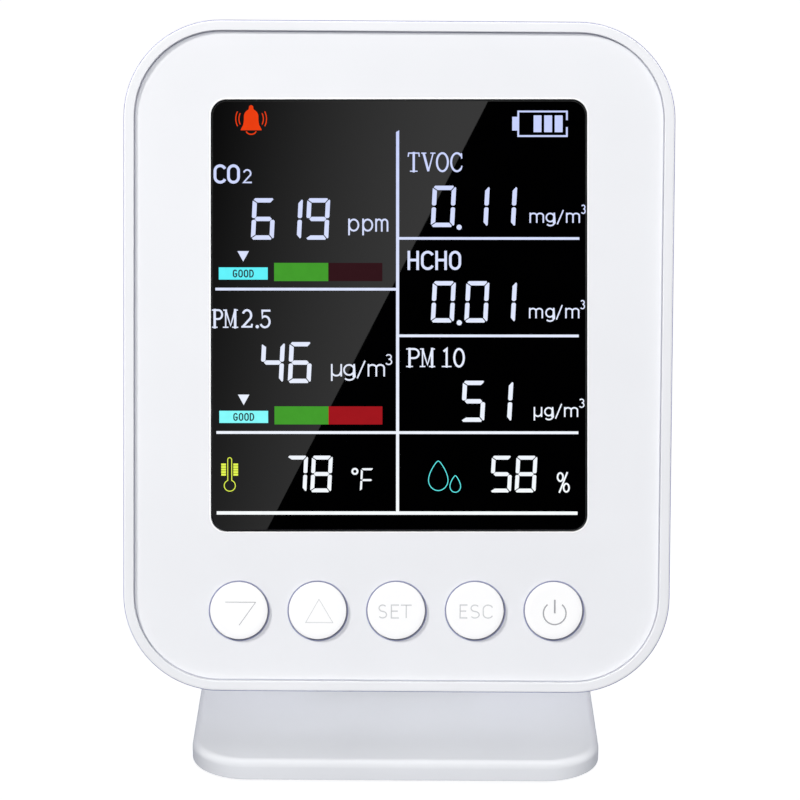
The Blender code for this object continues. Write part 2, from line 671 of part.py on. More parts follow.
def foot(looks, ground):
    """A shallow shell over a steel weight, closed by a base plate with an anti-slip pad."""
    roof = FOOT_TOP - FOOT_ROOF
    section = [(FOOT_WALL, roof), (FOOT_WALL, FOOT_BOTTOM), (0.0, FOOT_BOTTOM)]
    section += arc((FOOT_FILLET, FOOT_TOP - FOOT_FILLET), FOOT_FILLET, 180, 90, 4)
    rings = [at_level(foot_outline(inset), level) for inset, level in section]
    shell = publish("foot_shell", loft(rings), looks["foot"], ground)
    cut(shell, drills(neck_screw_places(), SCREW_HOLE, 2.0, 9.0), "screw_holes")
    plate_low = FOOT_BOTTOM + GAP
    plate_high = plate_low + BASE_PLATE
    plate = prism(foot_outline(FOOT_WALL + GAP), plate_low, plate_high)
    publish("foot_base_plate", plate, looks["dark"], ground)
    slab = prism(foot_outline(WEIGHT_INSET), plate_high + GAP, roof - GAP)
    weight = publish("foot_weight", slab, looks["steel"], ground)
    cut(weight, box(28.0, 9.0, 1.0, 6.0, (0.0, NECK_SCREW_Y)), "screw_window")
    publish("foot_pad", prism(foot_outline(PAD_INSET), 0.0, FOOT_BOTTOM), looks["rubber"], ground)


# ---------------------------------------------------------------- assembly


def make_looks():
    return {
        "casing": material("casing_white", (238, 239, 243), 0.42),
        "panel": material("panel_white", (239, 240, 244), 0.45),
        "button": material("button_white", (250, 250, 251), 0.35),
        "lens": material("lens_black", (4, 4, 5), 0.06),
        "display": material("display_glass", (10, 11, 14), 0.1),
        "diffuser": material("diffuser_white", (235, 238, 240), 0.5),
        "holder": material("holder_white", (226, 226, 222), 0.6),
        "ribbon": material("ribbon_amber", (176, 112, 38), 0.45),
        "board": material("board_green", (22, 84, 48), 0.45),
        "chip": material("chip_black", (24, 24, 26), 0.4),
        "dark": material("part_black", (32, 32, 34), 0.5),
        "steel": material("steel", (176, 178, 182), 0.32, 1.0),
        "brass": material("gilt_cell", (212, 172, 88), 0.3, 1.0),
        "foil": material("battery_foil", (188, 190, 194), 0.35, 0.9),
        "lead": material("lead_red", (176, 30, 26), 0.5),
        "foot": material("foot_grey_white", (219, 221, 227), 0.4),
        "rubber": material("rubber_grey", (70, 72, 75), 0.8),
    }


def main():
    for obj in list(bpy.data.objects):
        bpy.data.objects.remove(obj)
    looks = make_looks()
    stand = empty("stand", None, (0, 0, 0), (0, 0, 0))
    pivot = empty("head_tilt", stand, (0, HINGE_Y, HINGE_Z), (-math.radians(LEAN_DEG), 0, 0))
    height, depth = HINGE_ON_HEAD
    sheet = empty("head_sheet", pivot, (0, -depth, -height), (math.pi / 2, 0, 0))

    front_frame(looks["casing"], sheet)
    front_panel(looks["panel"], sheet)
    rear_cover(looks["casing"], sheet)
    case_screws(looks["steel"], sheet)
    screen(looks, sheet)
    display_ribbon(looks, sheet)
    buttons(looks, sheet)
    button_guide(looks["holder"], sheet)
    main_board(looks["board"], sheet)
    small_components(looks, sheet)
    carbon_dioxide_sensor(looks, sheet)
    battery(looks, sheet)
    dust_sensor(looks, sheet)
    charging_socket(looks["steel"], sheet)
    hinge_bracket(looks, sheet)
    hinge_pin(looks, sheet)
    hinge_washers(looks["steel"], stand)
    stand_neck(looks, stand)
    foot(looks, stand)


main()
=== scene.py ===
"""Looks for the desktop air quality monitor: fine shells, the lit display, markings, finishes and a studio.

The head is drawn upright on its own sheet, in millimetres: x to the right, y up from its bottom
edge, z towards the viewer from its front rim. SHEET places that sheet in the frame. The display
has a sheet of its own, whose corner is the lower left corner of the window. The foot and the neck
are drawn in the frame's own axes, in millimetres.
"""

import json
import math

import bmesh
import bpy
from mathutils import Matrix, Vector

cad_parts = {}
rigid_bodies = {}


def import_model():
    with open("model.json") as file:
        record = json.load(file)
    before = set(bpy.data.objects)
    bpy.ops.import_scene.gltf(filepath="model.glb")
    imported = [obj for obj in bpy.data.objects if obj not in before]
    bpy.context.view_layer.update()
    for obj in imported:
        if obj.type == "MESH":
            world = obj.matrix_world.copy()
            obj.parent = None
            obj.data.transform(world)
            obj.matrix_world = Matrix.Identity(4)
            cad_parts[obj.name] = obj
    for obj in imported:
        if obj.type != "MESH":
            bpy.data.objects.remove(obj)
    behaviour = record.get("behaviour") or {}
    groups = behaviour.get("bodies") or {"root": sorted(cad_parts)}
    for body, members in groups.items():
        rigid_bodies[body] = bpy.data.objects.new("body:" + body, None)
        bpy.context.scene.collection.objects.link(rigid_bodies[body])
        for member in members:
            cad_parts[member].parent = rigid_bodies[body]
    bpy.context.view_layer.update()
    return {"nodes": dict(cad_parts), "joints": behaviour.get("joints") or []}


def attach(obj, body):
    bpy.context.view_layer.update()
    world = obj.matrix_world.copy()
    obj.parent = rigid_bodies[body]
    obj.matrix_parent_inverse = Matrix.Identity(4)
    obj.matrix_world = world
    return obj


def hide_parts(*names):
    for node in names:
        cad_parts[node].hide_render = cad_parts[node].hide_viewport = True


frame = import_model()

MM = 0.001
GAP = 0.25


def joint(name):
    return next(entry for entry in frame["joints"] if entry["name"] == name)


def lowest(node, direction):
    return min(direction.dot(vertex.co) for vertex in frame["nodes"][node].data.vertices)


# ---------------------------------------------------------------- the head's sheet

RIGHT = Vector((1.0, 0.0, 0.0))
INWARD = Vector(joint("set_press")["axis"]).normalized()
UP = RIGHT.cross(INWARD)
HEAD_ORIGIN = UP * lowest("front_frame", UP) + INWARD * lowest("front_frame", INWARD)
TURN = Matrix((RIGHT, UP, -INWARD)).transposed().to_4x4()
SHEET = Matrix.Translation(HEAD_ORIGIN) @ TURN @ Matrix.Scale(MM, 4)
GROUND = Matrix.Scale(MM, 4)


def extent(node, space):
    """A CAD node's lowest and highest corner on a sheet, in millimetres."""
    back = space.inverted()
    points = [back @ vertex.co for vertex in frame["nodes"][node].data.vertices]
    low = Vector([min(point[axis] for point in points) for axis in range(3)])
    high = Vector([max(point[axis] for point in points) for axis in range(3)])
    return low, high


def centre_of(node, space):
    """The (x, y) middle of a CAD node's box on a sheet."""
    low, high = extent(node, space)
    return ((low.x + high.x) / 2, (low.y + high.y) / 2)


# ---------------------------------------------------------------- sizes, in millimetres

CASE_LOW, CASE_HIGH = extent("rear_cover", SHEET)
HEAD_WIDTH = CASE_HIGH.x - CASE_LOW.x
HEAD_HEIGHT = CASE_HIGH.y - CASE_LOW.y
HEAD_DEPTH = -CASE_LOW.z
HEAD_CORNER = 19.4
WALL = 2.1
PARTING_DEPTH = 9.0
REAR_FILLET = 6.0
PANEL_DEPTH = -extent("front_panel", SHEET)[1].z
PANEL_BACK = -extent("front_panel", SHEET)[0].z

LENS_LOW, LENS_HIGH = extent("display_lens", SHEET)
LENS_GAP = 0.3
WINDOW_LOW = LENS_LOW - Vector((LENS_GAP, LENS_GAP, 0.0))
WINDOW_HIGH = LENS_HIGH + Vector((LENS_GAP, LENS_GAP, 0.0))
WINDOW_CORNER = 3.15
# The window is slightly off centre and turned. It narrows upwards by this share for each millimetre, and
# has its drawn width at this level.
WINDOW_TAPER = 0.000113
TAPER_LEVEL = 50.3
WINDOW_CENTRE = Vector(((WINDOW_LOW.x + WINDOW_HIGH.x) / 2, (WINDOW_LOW.y + WINDOW_HIGH.y) / 2, 0.0))
WINDOW_SHIFT = Vector((0.18, -0.10, 0.0))
WINDOW_TURN = Matrix.Rotation(math.radians(0.385), 4, "Z") @ Matrix.Diagonal((1.001, 1.003, 1.0, 1.0))
FITTED = Matrix.Translation(WINDOW_CENTRE + WINDOW_SHIFT) @ WINDOW_TURN @ Matrix.Translation(-WINDOW_CENTRE)
DISPLAY_PLACE = Matrix.Translation((WINDOW_LOW.x, WINDOW_LOW.y - 0.04, LENS_HIGH.z))
# The display's stretch, skew and shift as (x, y) pairs, by a least-squares fit of its marks to the
# photograph's.
STRETCH = Vector((0.99765, 0.99613))
SKEW = Vector((0.00067, -0.00127))
SHIFT = Vector((-0.034, 0.493))
IN_PLANE = ((STRETCH.x, SKEW.x, 0, SHIFT.x), (SKEW.y, STRETCH.y, 0, SHIFT.y))
DISPLAY = SHEET @ FITTED @ DISPLAY_PLACE @ Matrix((*IN_PLANE, (0, 0, 1, 0), (0, 0, 0, 1)))
ON_SHEET = SHEET.inverted()

BUTTON_NAMES = ("down", "up", "set", "escape", "power")
BUTTON_RADIUS = 5.79
HOLE_GAP = 0.1
HOLE_SHIFT = Vector((0.055, -0.055))
HOLE_CHAMFER = 0.27
CAP_RISE = 1.15
GROOVE_WIDTH = 0.2
GROOVE_DEPTH = 0.16
RIM_RISE = 0.2
# The width of the white ring round the window, a painted highlight on the window's edge.
WINDOW_HIGHLIGHT_WIDTH = 0.28
# The place on the sheet, and the distance from it, that the caps and the holes' walls lean towards.
EYE = Vector((0.0, 98.8))
EYE_DISTANCE = 600.0
BUTTON_ROW_SLOPE = 0.0061
BUTTON_ROW_SHIFT = (-0.03, -0.18)
FOOT_CORNER = 11.6
FOOT_FILLET = 1.6

CORNER_STEPS = 24
ROUND_STEPS = 72
SMOOTH_BELOW = math.radians(35)
CORNER_SIGNS = ((1, -1), (1, 1), (-1, 1), (-1, -1))


# ---------------------------------------------------------------- outlines


def rounded_rectangle(width, height, radius, centre=(0.0, 0.0), steps=CORNER_STEPS):
    """Counter-clockwise (x, y) points."""
    points = []
    for quarter, (side_x, side_y) in enumerate(CORNER_SIGNS):
        corner_x = centre[0] + side_x * (width / 2 - radius)
        corner_y = centre[1] + side_y * (height / 2 - radius)
        for step in range(steps + 1):
            angle = (quarter - 1 + step / steps) * math.pi / 2
            points.append((corner_x + radius * math.cos(angle), corner_y + radius * math.sin(angle)))
    return points


def arc(centre, radius, start_deg, end_deg, steps):
    """Points from one angle to the other, both ends included. The radius may be an (x, y) pair."""
    wide, tall = radius if isinstance(radius, tuple) else (radius, radius)
    angles = [math.radians(start_deg + (end_deg - start_deg) * step / steps) for step in range(steps + 1)]
    return [(centre[0] + wide * math.cos(a), centre[1] + tall * math.sin(a)) for a in angles]


def circle(radius, steps=ROUND_STEPS, centre=(0.0, 0.0)):
    return arc(centre, radius, 0, 360, steps)[:-1]


def head_outline(inset):
    return rounded_rectangle(
        HEAD_WIDTH - 2 * inset, HEAD_HEIGHT - 2 * inset, HEAD_CORNER - inset, (0.0, HEAD_HEIGHT / 2)
    )


def eased(corners, steps=6):
    """A closed line with rounded corners, from (x, y, radius). A radius of 0 keeps a corner sharp."""
    points = []
    for i, (x, y, radius) in enumerate(corners):
        here = Vector((x, y))
        before = Vector(corners[i - 1][:2]) - here
        after = Vector(corners[(i + 1) % len(corners)][:2]) - here
        if radius == 0:
            points.append((x, y))
            continue
        before.normalize()
        after.normalize()
        half = before.angle(after) / 2
        reach = radius / math.tan(half)
        centre = here + (before + after).normalized() * radius / math.sin(half)
        start = here + before * reach - centre
        end = here + after * reach - centre
        sweep = start.angle_signed(end)
        for step in range(steps + 1):
            turn = Matrix.Rotation(-sweep * step / steps, 2)
            points.append(tuple(centre + turn @ start))
    return points


def grown(outline, amount):
    """A closed counter-clockwise outline moved outwards by a distance."""
    shifted = []
    for i, here in enumerate(outline):
        before = Vector(outline[i - 1])
        after = Vector(outline[(i + 1) % len(outline)])
        here = Vector(here)
        along_in = (here - before).normalized()
        along_out = (after - here).normalized()
        normal_in = Vector((along_in.y, -along_in.x))
        normal_out = Vector((along_out.y, -along_out.x))
        mitre = normal_in + normal_out
        mitre /= max(mitre.length_squared / 2, 0.3)
        shifted.append(tuple(here + mitre * amount))
    return shifted


# ---------------------------------------------------------------- meshes


def at_level(points, level):
    return [(x, y, level) for x, y in points]


def vertex_loops(bm, rings):
    return [[bm.verts.new(point) for point in ring] for ring in rings]


def bridge(bm, pairs):
    """Makes the faces between the loops of each pair."""
    for near, far in pairs:
        for i in range(len(near)):
            j = (i + 1) % len(near)
            bm.faces.new((near[i], near[j], far[j], far[i]))


def loft(rings, closed=False):
    """A skin through rings of equally many points, capped at both ends unless it closes on itself."""
    bm = bmesh.new()
    loops = vertex_loops(bm, rings)
    pairs = list(zip(loops, loops[1:]))
    if closed:
        pairs.append((loops[-1], loops[0]))
    else:
        bm.faces.new(loops[0])
        bm.faces.new(loops[-1])
    bridge(bm, pairs)
    bmesh.ops.recalc_face_normals(bm, faces=bm.faces)
    return bm


def prism(outline, low, high):
    return loft([at_level(outline, low), at_level(outline, high)])


def turned(profile, steps=ROUND_STEPS, centre=(0.0, 0.0)):
    """A round solid about the sheet's normal, from (radius, level) points."""
    return loft([at_level(circle(radius, steps, centre), level) for radius, level in profile])


def merged(parts):
    whole = bmesh.new()
    for part in parts:
        mesh = bpy.data.meshes.new("part")
        part.to_mesh(mesh)
        part.free()
        whole.from_mesh(mesh)
        bpy.data.meshes.remove(mesh)
    return whole


def moved(bm, matrix):
    bmesh.ops.transform(bm, matrix=matrix, verts=bm.verts)
    if matrix.determinant() < 0:
        bmesh.ops.reverse_faces(bm, faces=bm.faces)
    return bm


def along_x(bm):
    return moved(bm, Matrix.Rotation(math.pi / 2, 4, "Y"))


def holed_plate(borders):
    """A plate with holes. Each border is a stack of rings from the front face to the back face."""
    bm = bmesh.new()
    front_edges = []
    back_edges = []
    for rings in borders:
        loops = vertex_loops(bm, rings)
        bridge(bm, zip(loops, loops[1:]))
        for loop, edges in ((loops[0], front_edges), (loops[-1], back_edges)):
            edges += [bm.edges.get((loop[i - 1], loop[i])) for i in range(len(loop))]
    for edges in (front_edges, back_edges):
        bmesh.ops.triangle_fill(bm, use_beauty=True, use_dissolve=False, edges=edges)
    bmesh.ops.recalc_face_normals(bm, faces=bm.faces)
    return bm


def ribbon(points, width, low, high, closed=False):
    """A flat stroke along a line, with mitred corners."""
    half = width / 2
    rings = []
    count = len(points)
    for i, here in enumerate(points):
        here = Vector(here)
        before = Vector(points[i - 1]) if closed or i else None
        after = Vector(points[(i + 1) % count]) if closed or i < count - 1 else None
        run_in = (here - before).normalized() if before is not None else None
        run_out = (after - here).normalized() if after is not None else run_in
        run_in = run_in if run_in is not None else run_out
        normal = Vector((-run_in.y - run_out.y, run_in.x + run_out.x))
        normal *= half * 2 / max(normal.length_squared, 0.8)
        left = here + normal
        right = here - normal
        rings.append([(*left, low), (*right, low), (*right, high), (*left, high)])
    return loft(rings, closed)


# ---------------------------------------------------------------- pieces


def added(name, data):
    """An object linked into the scene."""
    obj = bpy.data.objects.new(name, data)
    bpy.context.scene.collection.objects.link(obj)
    return obj


def mesh_object(name, bm):
    mesh = bpy.data.meshes.new(name)
    bm.to_mesh(mesh)
    bm.free()
    return added(name, mesh)


def publish(name, bm, look, replaces=(), space=SHEET, body="head", sharp=SMOOTH_BELOW):
    """Makes a piece of a mesh drawn on a sheet, and makes it ride on a CAD body."""
    obj = mesh_object(name, moved(bm, space))
    obj.data.shade_smooth()
    obj.data.set_sharp_from_angle(angle=sharp)
    obj.data.materials.append(look)
    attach(obj, body)
    if replaces:
        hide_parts(*replaces)
    return obj


def cut(target, bm, space, label):
    """Cuts a mesh away from a piece and keeps the result."""
    tool = mesh_object(label, moved(bm, space))
    modifier = target.modifiers.new(label, "BOOLEAN")
    modifier.operation = "DIFFERENCE"
    modifier.solver = "EXACT"
    modifier.object = tool
    settle(target)
    bpy.data.objects.remove(tool)


def settle(target):
    """Applies a piece's modifiers to its mesh."""
    bpy.context.view_layer.update()
    evaluated = target.evaluated_get(bpy.context.evaluated_depsgraph_get())
    mesh = bpy.data.meshes.new_from_object(evaluated)
    target.modifiers.clear()
    target.data = mesh
    mesh.name = target.name


def even_shading(target):
    """Lets large flat faces keep their own normals beside narrow fillets."""
    modifier = target.modifiers.new("even_shading", "WEIGHTED_NORMAL")
    modifier.keep_sharp = True
    modifier.weight = 80


def reshade(target):
    """Marks the sharp edges again after a cut, then evens the shading."""
    target.data.shade_smooth()
    target.data.set_sharp_from_angle(angle=SMOOTH_BELOW)
    even_shading(target)


# ---------------------------------------------------------------- materials


def linear(channel):
    channel /= 255
    return channel / 12.92 if channel <= 0.04045 else ((channel + 0.055) / 1.055) ** 2.4


def colour(rgb):
    return (*(linear(channel) for channel in rgb), 1.0)


RANGE_SOCKETS = ("Value", "From Min", "From Max", "To Min", "To Max")


class Nodes:
    """Arithmetic in a node tree."""

    def __init__(self, tree):
        self.tree = tree

    def node(self, kind, **settings):
        made = self.tree.nodes.new(kind)
        for key, value in settings.items():
            setattr(made, key, value)
        return made

    def link(self, source, target):
        self.tree.links.new(source, target)

    def put(self, target, value):
        """Sets a socket to a number or a colour, or links it to another socket."""
        if isinstance(value, bpy.types.NodeSocket):
            self.link(value, target)
        else:
            target.default_value = value

    def math(self, operation, *values):
        made = self.node("ShaderNodeMath", operation=operation)
        for socket, value in zip(made.inputs, values):
            self.put(socket, value)
        return made.outputs[0]

    def dot(self, vector, axis):
        made = self.node("ShaderNodeVectorMath", operation="DOT_PRODUCT")
        self.put(made.inputs[0], vector)
        self.put(made.inputs[1], axis)
        return made.outputs["Value"]

    def ranged(self, value, low, high, from_low=0.3, from_high=0.7, kind="LINEAR"):
        made = self.node("ShaderNodeMapRange", interpolation_type=kind)
        for socket, number in zip(RANGE_SOCKETS, (value, from_low, from_high, low, high)):
            self.put(made.inputs[socket], number)
        return made.outputs["Result"]

    def smooth(self, value, low, high, start=0.0, end=1.0):
        return self.ranged(value, start, end, low, high, "SMOOTHSTEP")

    def blended(self, share, first, second, kind="MIX"):
        made = self.node("ShaderNodeMix", data_type="RGBA", blend_type=kind)
        for socket, value in ((0, share), (6, first), (7, second)):
            self.put(made.inputs[socket], value)
        return made.outputs[2]


class Look(Nodes):
    """A material whose colour, roughness and relief come from nodes in object space."""

    def __init__(self, name, roughness=0.5, metallic=0.0):
        self.made = bpy.data.materials.new(name)
        self.made.use_nodes = True
        super().__init__(self.made.node_tree)
        self.shader = self.tree.nodes["Principled BSDF"]
        self.shader.inputs["Roughness"].default_value = roughness
        self.shader.inputs["Metallic"].default_value = metallic
        self.place = self.tree.nodes.new("ShaderNodeTexCoord").outputs["Object"]

    def scaled(self, stretch):
        mapping = self.node("ShaderNodeMapping")
        mapping.inputs["Scale"].default_value = stretch
        self.link(self.place, mapping.inputs["Vector"])
        return mapping.outputs["Vector"]

    def noise(self, size, detail=3.0, stretch=None):
        """Noise whose features are about this many millimetres across."""
        made = self.node("ShaderNodeTexNoise")
        made.inputs["Scale"].default_value = 1.0 / (size * MM)
        made.inputs["Detail"].default_value = detail
        self.link(self.scaled(stretch) if stretch else self.place, made.inputs["Vector"])
        return made.outputs["Fac"]

    def paint(self, source):
        self.link(source, self.shader.inputs["Base Color"])

    def gloss(self, source):
        self.link(source, self.shader.inputs["Roughness"])

    def relief(self, source, height, strength=1.0):
        bump = self.node("ShaderNodeBump")
        bump.inputs["Distance"].default_value = height * MM
        bump.inputs["Strength"].default_value = strength
        self.link(source, bump.inputs["Height"])
        self.link(bump.outputs["Normal"], self.shader.inputs["Normal"])

    def set(self, **sockets):
        for key, value in sockets.items():
            self.shader.inputs[key.replace("_", " ")].default_value = value


def moulded(name, rgb, roughness, grain=0.35, height=0.004, drift=0.02, specular=0.5):
    """Moulded plastic: a fine spark-eroded grain, a slow drift in tone and slightly uneven gloss."""
    look = Look(name, roughness)
    tone = look.ranged(look.noise(26.0, 2.0), 0.0, 1.0)
    dark = colour(tuple(channel * (1.0 - drift) for channel in rgb))
    look.paint(look.blended(tone, dark, colour(rgb)))
    look.gloss(look.ranged(look.noise(9.0, 2.0), roughness * 0.95, roughness * 1.05, 0.2, 0.8))
    look.relief(look.noise(grain, 2.0), height)
    look.set(Specular_IOR_Level=specular)
    return look.made


def plated(name, rgb, roughness, stretch=(1.0, 1.0, 1.0), metallic=1.0):
    """Metal with fine lines along one axis and small stains."""
    look = Look(name, roughness, metallic)
    lines = look.noise(0.25, 3.0, stretch)
    dark = colour(tuple(channel * 0.86 for channel in rgb))
    look.paint(look.blended(look.ranged(look.noise(2.5, 4.0), 0.0, 1.0), dark, colour(rgb)))
    look.gloss(look.ranged(lines, roughness * 0.75, roughness * 1.3))
    look.relief(lines, 0.003)
    return look.made


def lit(name, rgb, strength=1.0, fade=None):
    """A lit mark: its colour drifts up the screen, over the faint unevenness of its backlight."""
    look = Look(name, 0.4)
    unevenness = look.ranged(look.noise(1.6, 2.0), 0.97, 1.03)
    grey = look.node("ShaderNodeCombineColor")
    for socket in ("Red", "Green", "Blue"):
        look.link(unevenness, grey.inputs[socket])
    tint = colour(rgb)
    if fade:
        split = look.node("ShaderNodeSeparateXYZ")
        look.link(look.place, split.inputs["Vector"])
        low, high = (SHEET @ Vector((0.0, y, 0.0)) for y in (WINDOW_LOW.y, WINDOW_HIGH.y))
        level = look.ranged(split.outputs["Z"], 0.0, 1.0, low.z, high.z)
        tint = look.blended(level, tint, colour(fade))
    glow = look.blended(1.0, tint, grey.outputs["Color"], "MULTIPLY")
    look.link(glow, look.shader.inputs["Emission Color"])
    look.set(Emission_Strength=strength, Specular_IOR_Level=0.0)
    look.shader.inputs["Base Color"].default_value = (0.0, 0.0, 0.0, 1.0)
    return look.made


def make_looks():
    looks = {
        "casing": moulded("casing_white", (239, 240, 243), 0.3, specular=0.5),
        "cover": moulded("cover_white", (240, 240, 244), 0.42, 0.3, 0.010),
        "panel": moulded("panel_white", (237, 238, 241), 0.5, 0.3, 0.003, 0.012, 0.3),
        "button": moulded("button_white", (255, 255, 255), 0.4, 0.6, 0.001, 0.004, 0.2),
        # Painted shade: a darker lavender grey for the frame's outer front edge, where the edge turns away
        # from the light.
        "hairline": moulded("hairline_lavender", (162, 164, 204), 0.5, 0.6, 0.001, 0.01, 0.0),
        # Painted shade: a grey for the panel's groove, darker than the panel where the gap's shade falls.
        "groove": moulded("groove_grey", (200, 201, 212), 0.6, 0.6, 0.001, 0.01, 0.0),
        # Painted shade: a lavender grey for the chamfers round the button holes, where shade falls beside
        # the caps.
        "hole_edge": moulded("hole_edge_lavender", (186, 189, 219), 0.6, 0.6, 0.001, 0.01, 0.0),
        # Painted shade: a grey for the caps' sides, which show in the gaps round the caps.
        "button_side": moulded("button_side_grey", (205, 206, 214), 0.5, 0.6, 0.001, 0.01, 0.1),
        "foot": moulded("foot_grey_white", (215, 217, 221), 0.42, 0.4, 0.003, specular=0.4),
        "holder": moulded("holder_white", (226, 226, 222), 0.6),
        "dark": moulded("part_black", (32, 32, 34), 0.5, 0.3, 0.01),
        "chip": moulded("chip_black", (24, 24, 26), 0.42, 0.12, 0.01),
        "rubber": moulded("rubber_grey", (70, 72, 75), 0.8, 0.5, 0.03, 0.1, 0.2),
        "marking": moulded("marking_grey", (206, 207, 209), 0.6, 0.2, 0.002),
        "marking_dark": moulded("marking_dark_grey", (160, 161, 165), 0.6, 0.2, 0.002),
        "diffuser": moulded("diffuser_white", (235, 238, 240), 0.5),
        "lead": moulded("lead_red", (176, 30, 26), 0.5, 0.3, 0.004),
        "ribbon": moulded("ribbon_amber", (176, 112, 38), 0.4, 0.2, 0.004, 0.2),
        "board": moulded("board_green", (22, 84, 48), 0.4, 0.8, 0.02, 0.25),
        "steel": plated("steel", (176, 178, 182), 0.3, (1.0, 6.0, 6.0)),
        "brass": plated("gilt_cell", (212, 172, 88), 0.3, (1.0, 5.0, 5.0)),
        "foil": plated("battery_foil", (188, 190, 194), 0.35, (1.0, 1.0, 4.0), 0.9),
        "white_light": lit("lit_white", (251, 255, 255), 1.0, (197, 208, 255)),
        "red_light": lit("lit_vermilion", (234, 63, 19)),
        "blue_light": lit("lit_blue_cyan", (99, 243, 251)),
        "cyan_light": lit("lit_cyan", (134, 252, 253)),
        "aqua_light": lit("lit_aqua", (98, 236, 236)),
        "lime_light": lit("lit_lime", (232, 250, 84)),
        "green_light": lit("lit_green", (68, 155, 46)),
        "crimson_light": lit("lit_crimson", (158, 23, 30)),
        "dim_crimson": lit("unlit_crimson", (49, 22, 27)),
        "ink": moulded("display_ink", (22, 40, 46), 0.5),
    }
    lens = Look("lens_black", 0.006)
    lens.shader.inputs["Base Color"].default_value = (0.0, 0.0, 0.0, 1.0)
    lens.paint(lens.blended(lens.noise(8.0), (0.0, 0.0, 0.0, 1.0), (0.0004, 0.0004, 0.0006, 1.0)))
    lens.gloss(lens.ranged(lens.noise(12.0, 4.0), 0.004, 0.008))
    looks["lens"] = lens.made
    glass = Look("display_glass", 0.1)
    glass.paint(glass.blended(glass.noise(3.0), colour((8, 9, 12)), colour((12, 13, 16))))
    looks["display"] = glass.made
    return looks


CARRIED_OVER = {
    "board": ("main_board", "co2_sensor_board"),
    "brass": ("co2_sensor_cell",),
    "foil": ("battery_cell",),
    "lead": ("battery_lead",),
    "ribbon": ("display_ribbon",),
    "display": ("display_glass",),
    "diffuser": ("display_backlight",),
    "holder": ("display_holder", "button_guide", "battery_connector"),
    "chip": ("controller_chip", "gas_sensor_chip", "climate_sensor_chip"),
    "dark": ("buzzer", "laser_block", "fan_rotor", "ribbon_connector", "foot_base_plate"),
    "rubber": ("foot_pad",),
    "steel": (
        "dust_sensor_case", "dust_sensor_lid", "formaldehyde_sensor", "foot_weight", "charging_socket",
        "neck_screw_1", "neck_screw_2", "hinge_washer_left", "hinge_washer_right",
    ),
}


def finish_carried_over(looks):
    """Gives each CAD node that stays its finish."""
    chosen = {node: look for look, nodes in CARRIED_OVER.items() for node in nodes}
    for name in BUTTON_NAMES:
        chosen[f"switch_{name}"] = "steel"
        chosen[f"plunger_{name}"] = "dark"
    for node, look in chosen.items():
        slots = frame["nodes"][node].data.materials
        slots.clear()
        slots.append(looks[look])


# ---------------------------------------------------------------- casing


def front_frame(looks):
    """The ring around the front panel. A lavender grey line of painted shade runs along its outer front
    edge, where the fillet turns away from the front.
    """
    ledge, ledge_reach, ledge_end = PANEL_BACK + GAP, 4.3, 4.9
    tongue, tongue_edge = PARTING_DEPTH + 1.3, WALL - 0.75
    edge_shade_inset, edge_shade_depth = 0.13, 0.36
    corners = [(0.0, PARTING_DEPTH, 0.3), (0.0, -RIM_RISE, 0.55), (WALL, -RIM_RISE, 0.18)]
    corners += [(WALL, ledge, 0.0), (ledge_reach, ledge, 0.2), (ledge_reach, ledge_end, 0.2)]
    corners += [(WALL, ledge_end, 0.0), (WALL, tongue, 0.2), (tongue_edge, tongue, 0.2)]
    corners += [(tongue_edge, PARTING_DEPTH, 0.0)]
    section = eased(corners, 8)
    rings = [at_level(head_outline(inset), -depth) for inset, depth in section]
    ring = loft(rings, True)
    piece = publish("front_frame_fine", ring, looks["casing"], ["front_frame"])
    piece.data.materials.append(looks["hairline"])
    count = len(rings[0])
    # Faces of the outer fillet close to the front get the painted edge shade.
    for number, face in enumerate(piece.data.polygons):
        inset, depth = section[number // count]
        if depth < edge_shade_depth and inset < edge_shade_inset:
            face.material_index = 1
    even_shading(piece)


def button_places():
    """For each button, the centre of its stem, from the CAD, and of its cap in the panel."""
    places = {}
    for name in BUTTON_NAMES:
        x, y = centre_of(f"button_{name}", SHEET)
        places[name] = ((x, y), (x + BUTTON_ROW_SHIFT[0], y + BUTTON_ROW_SHIFT[1] + BUTTON_ROW_SLOPE * x))
    return places


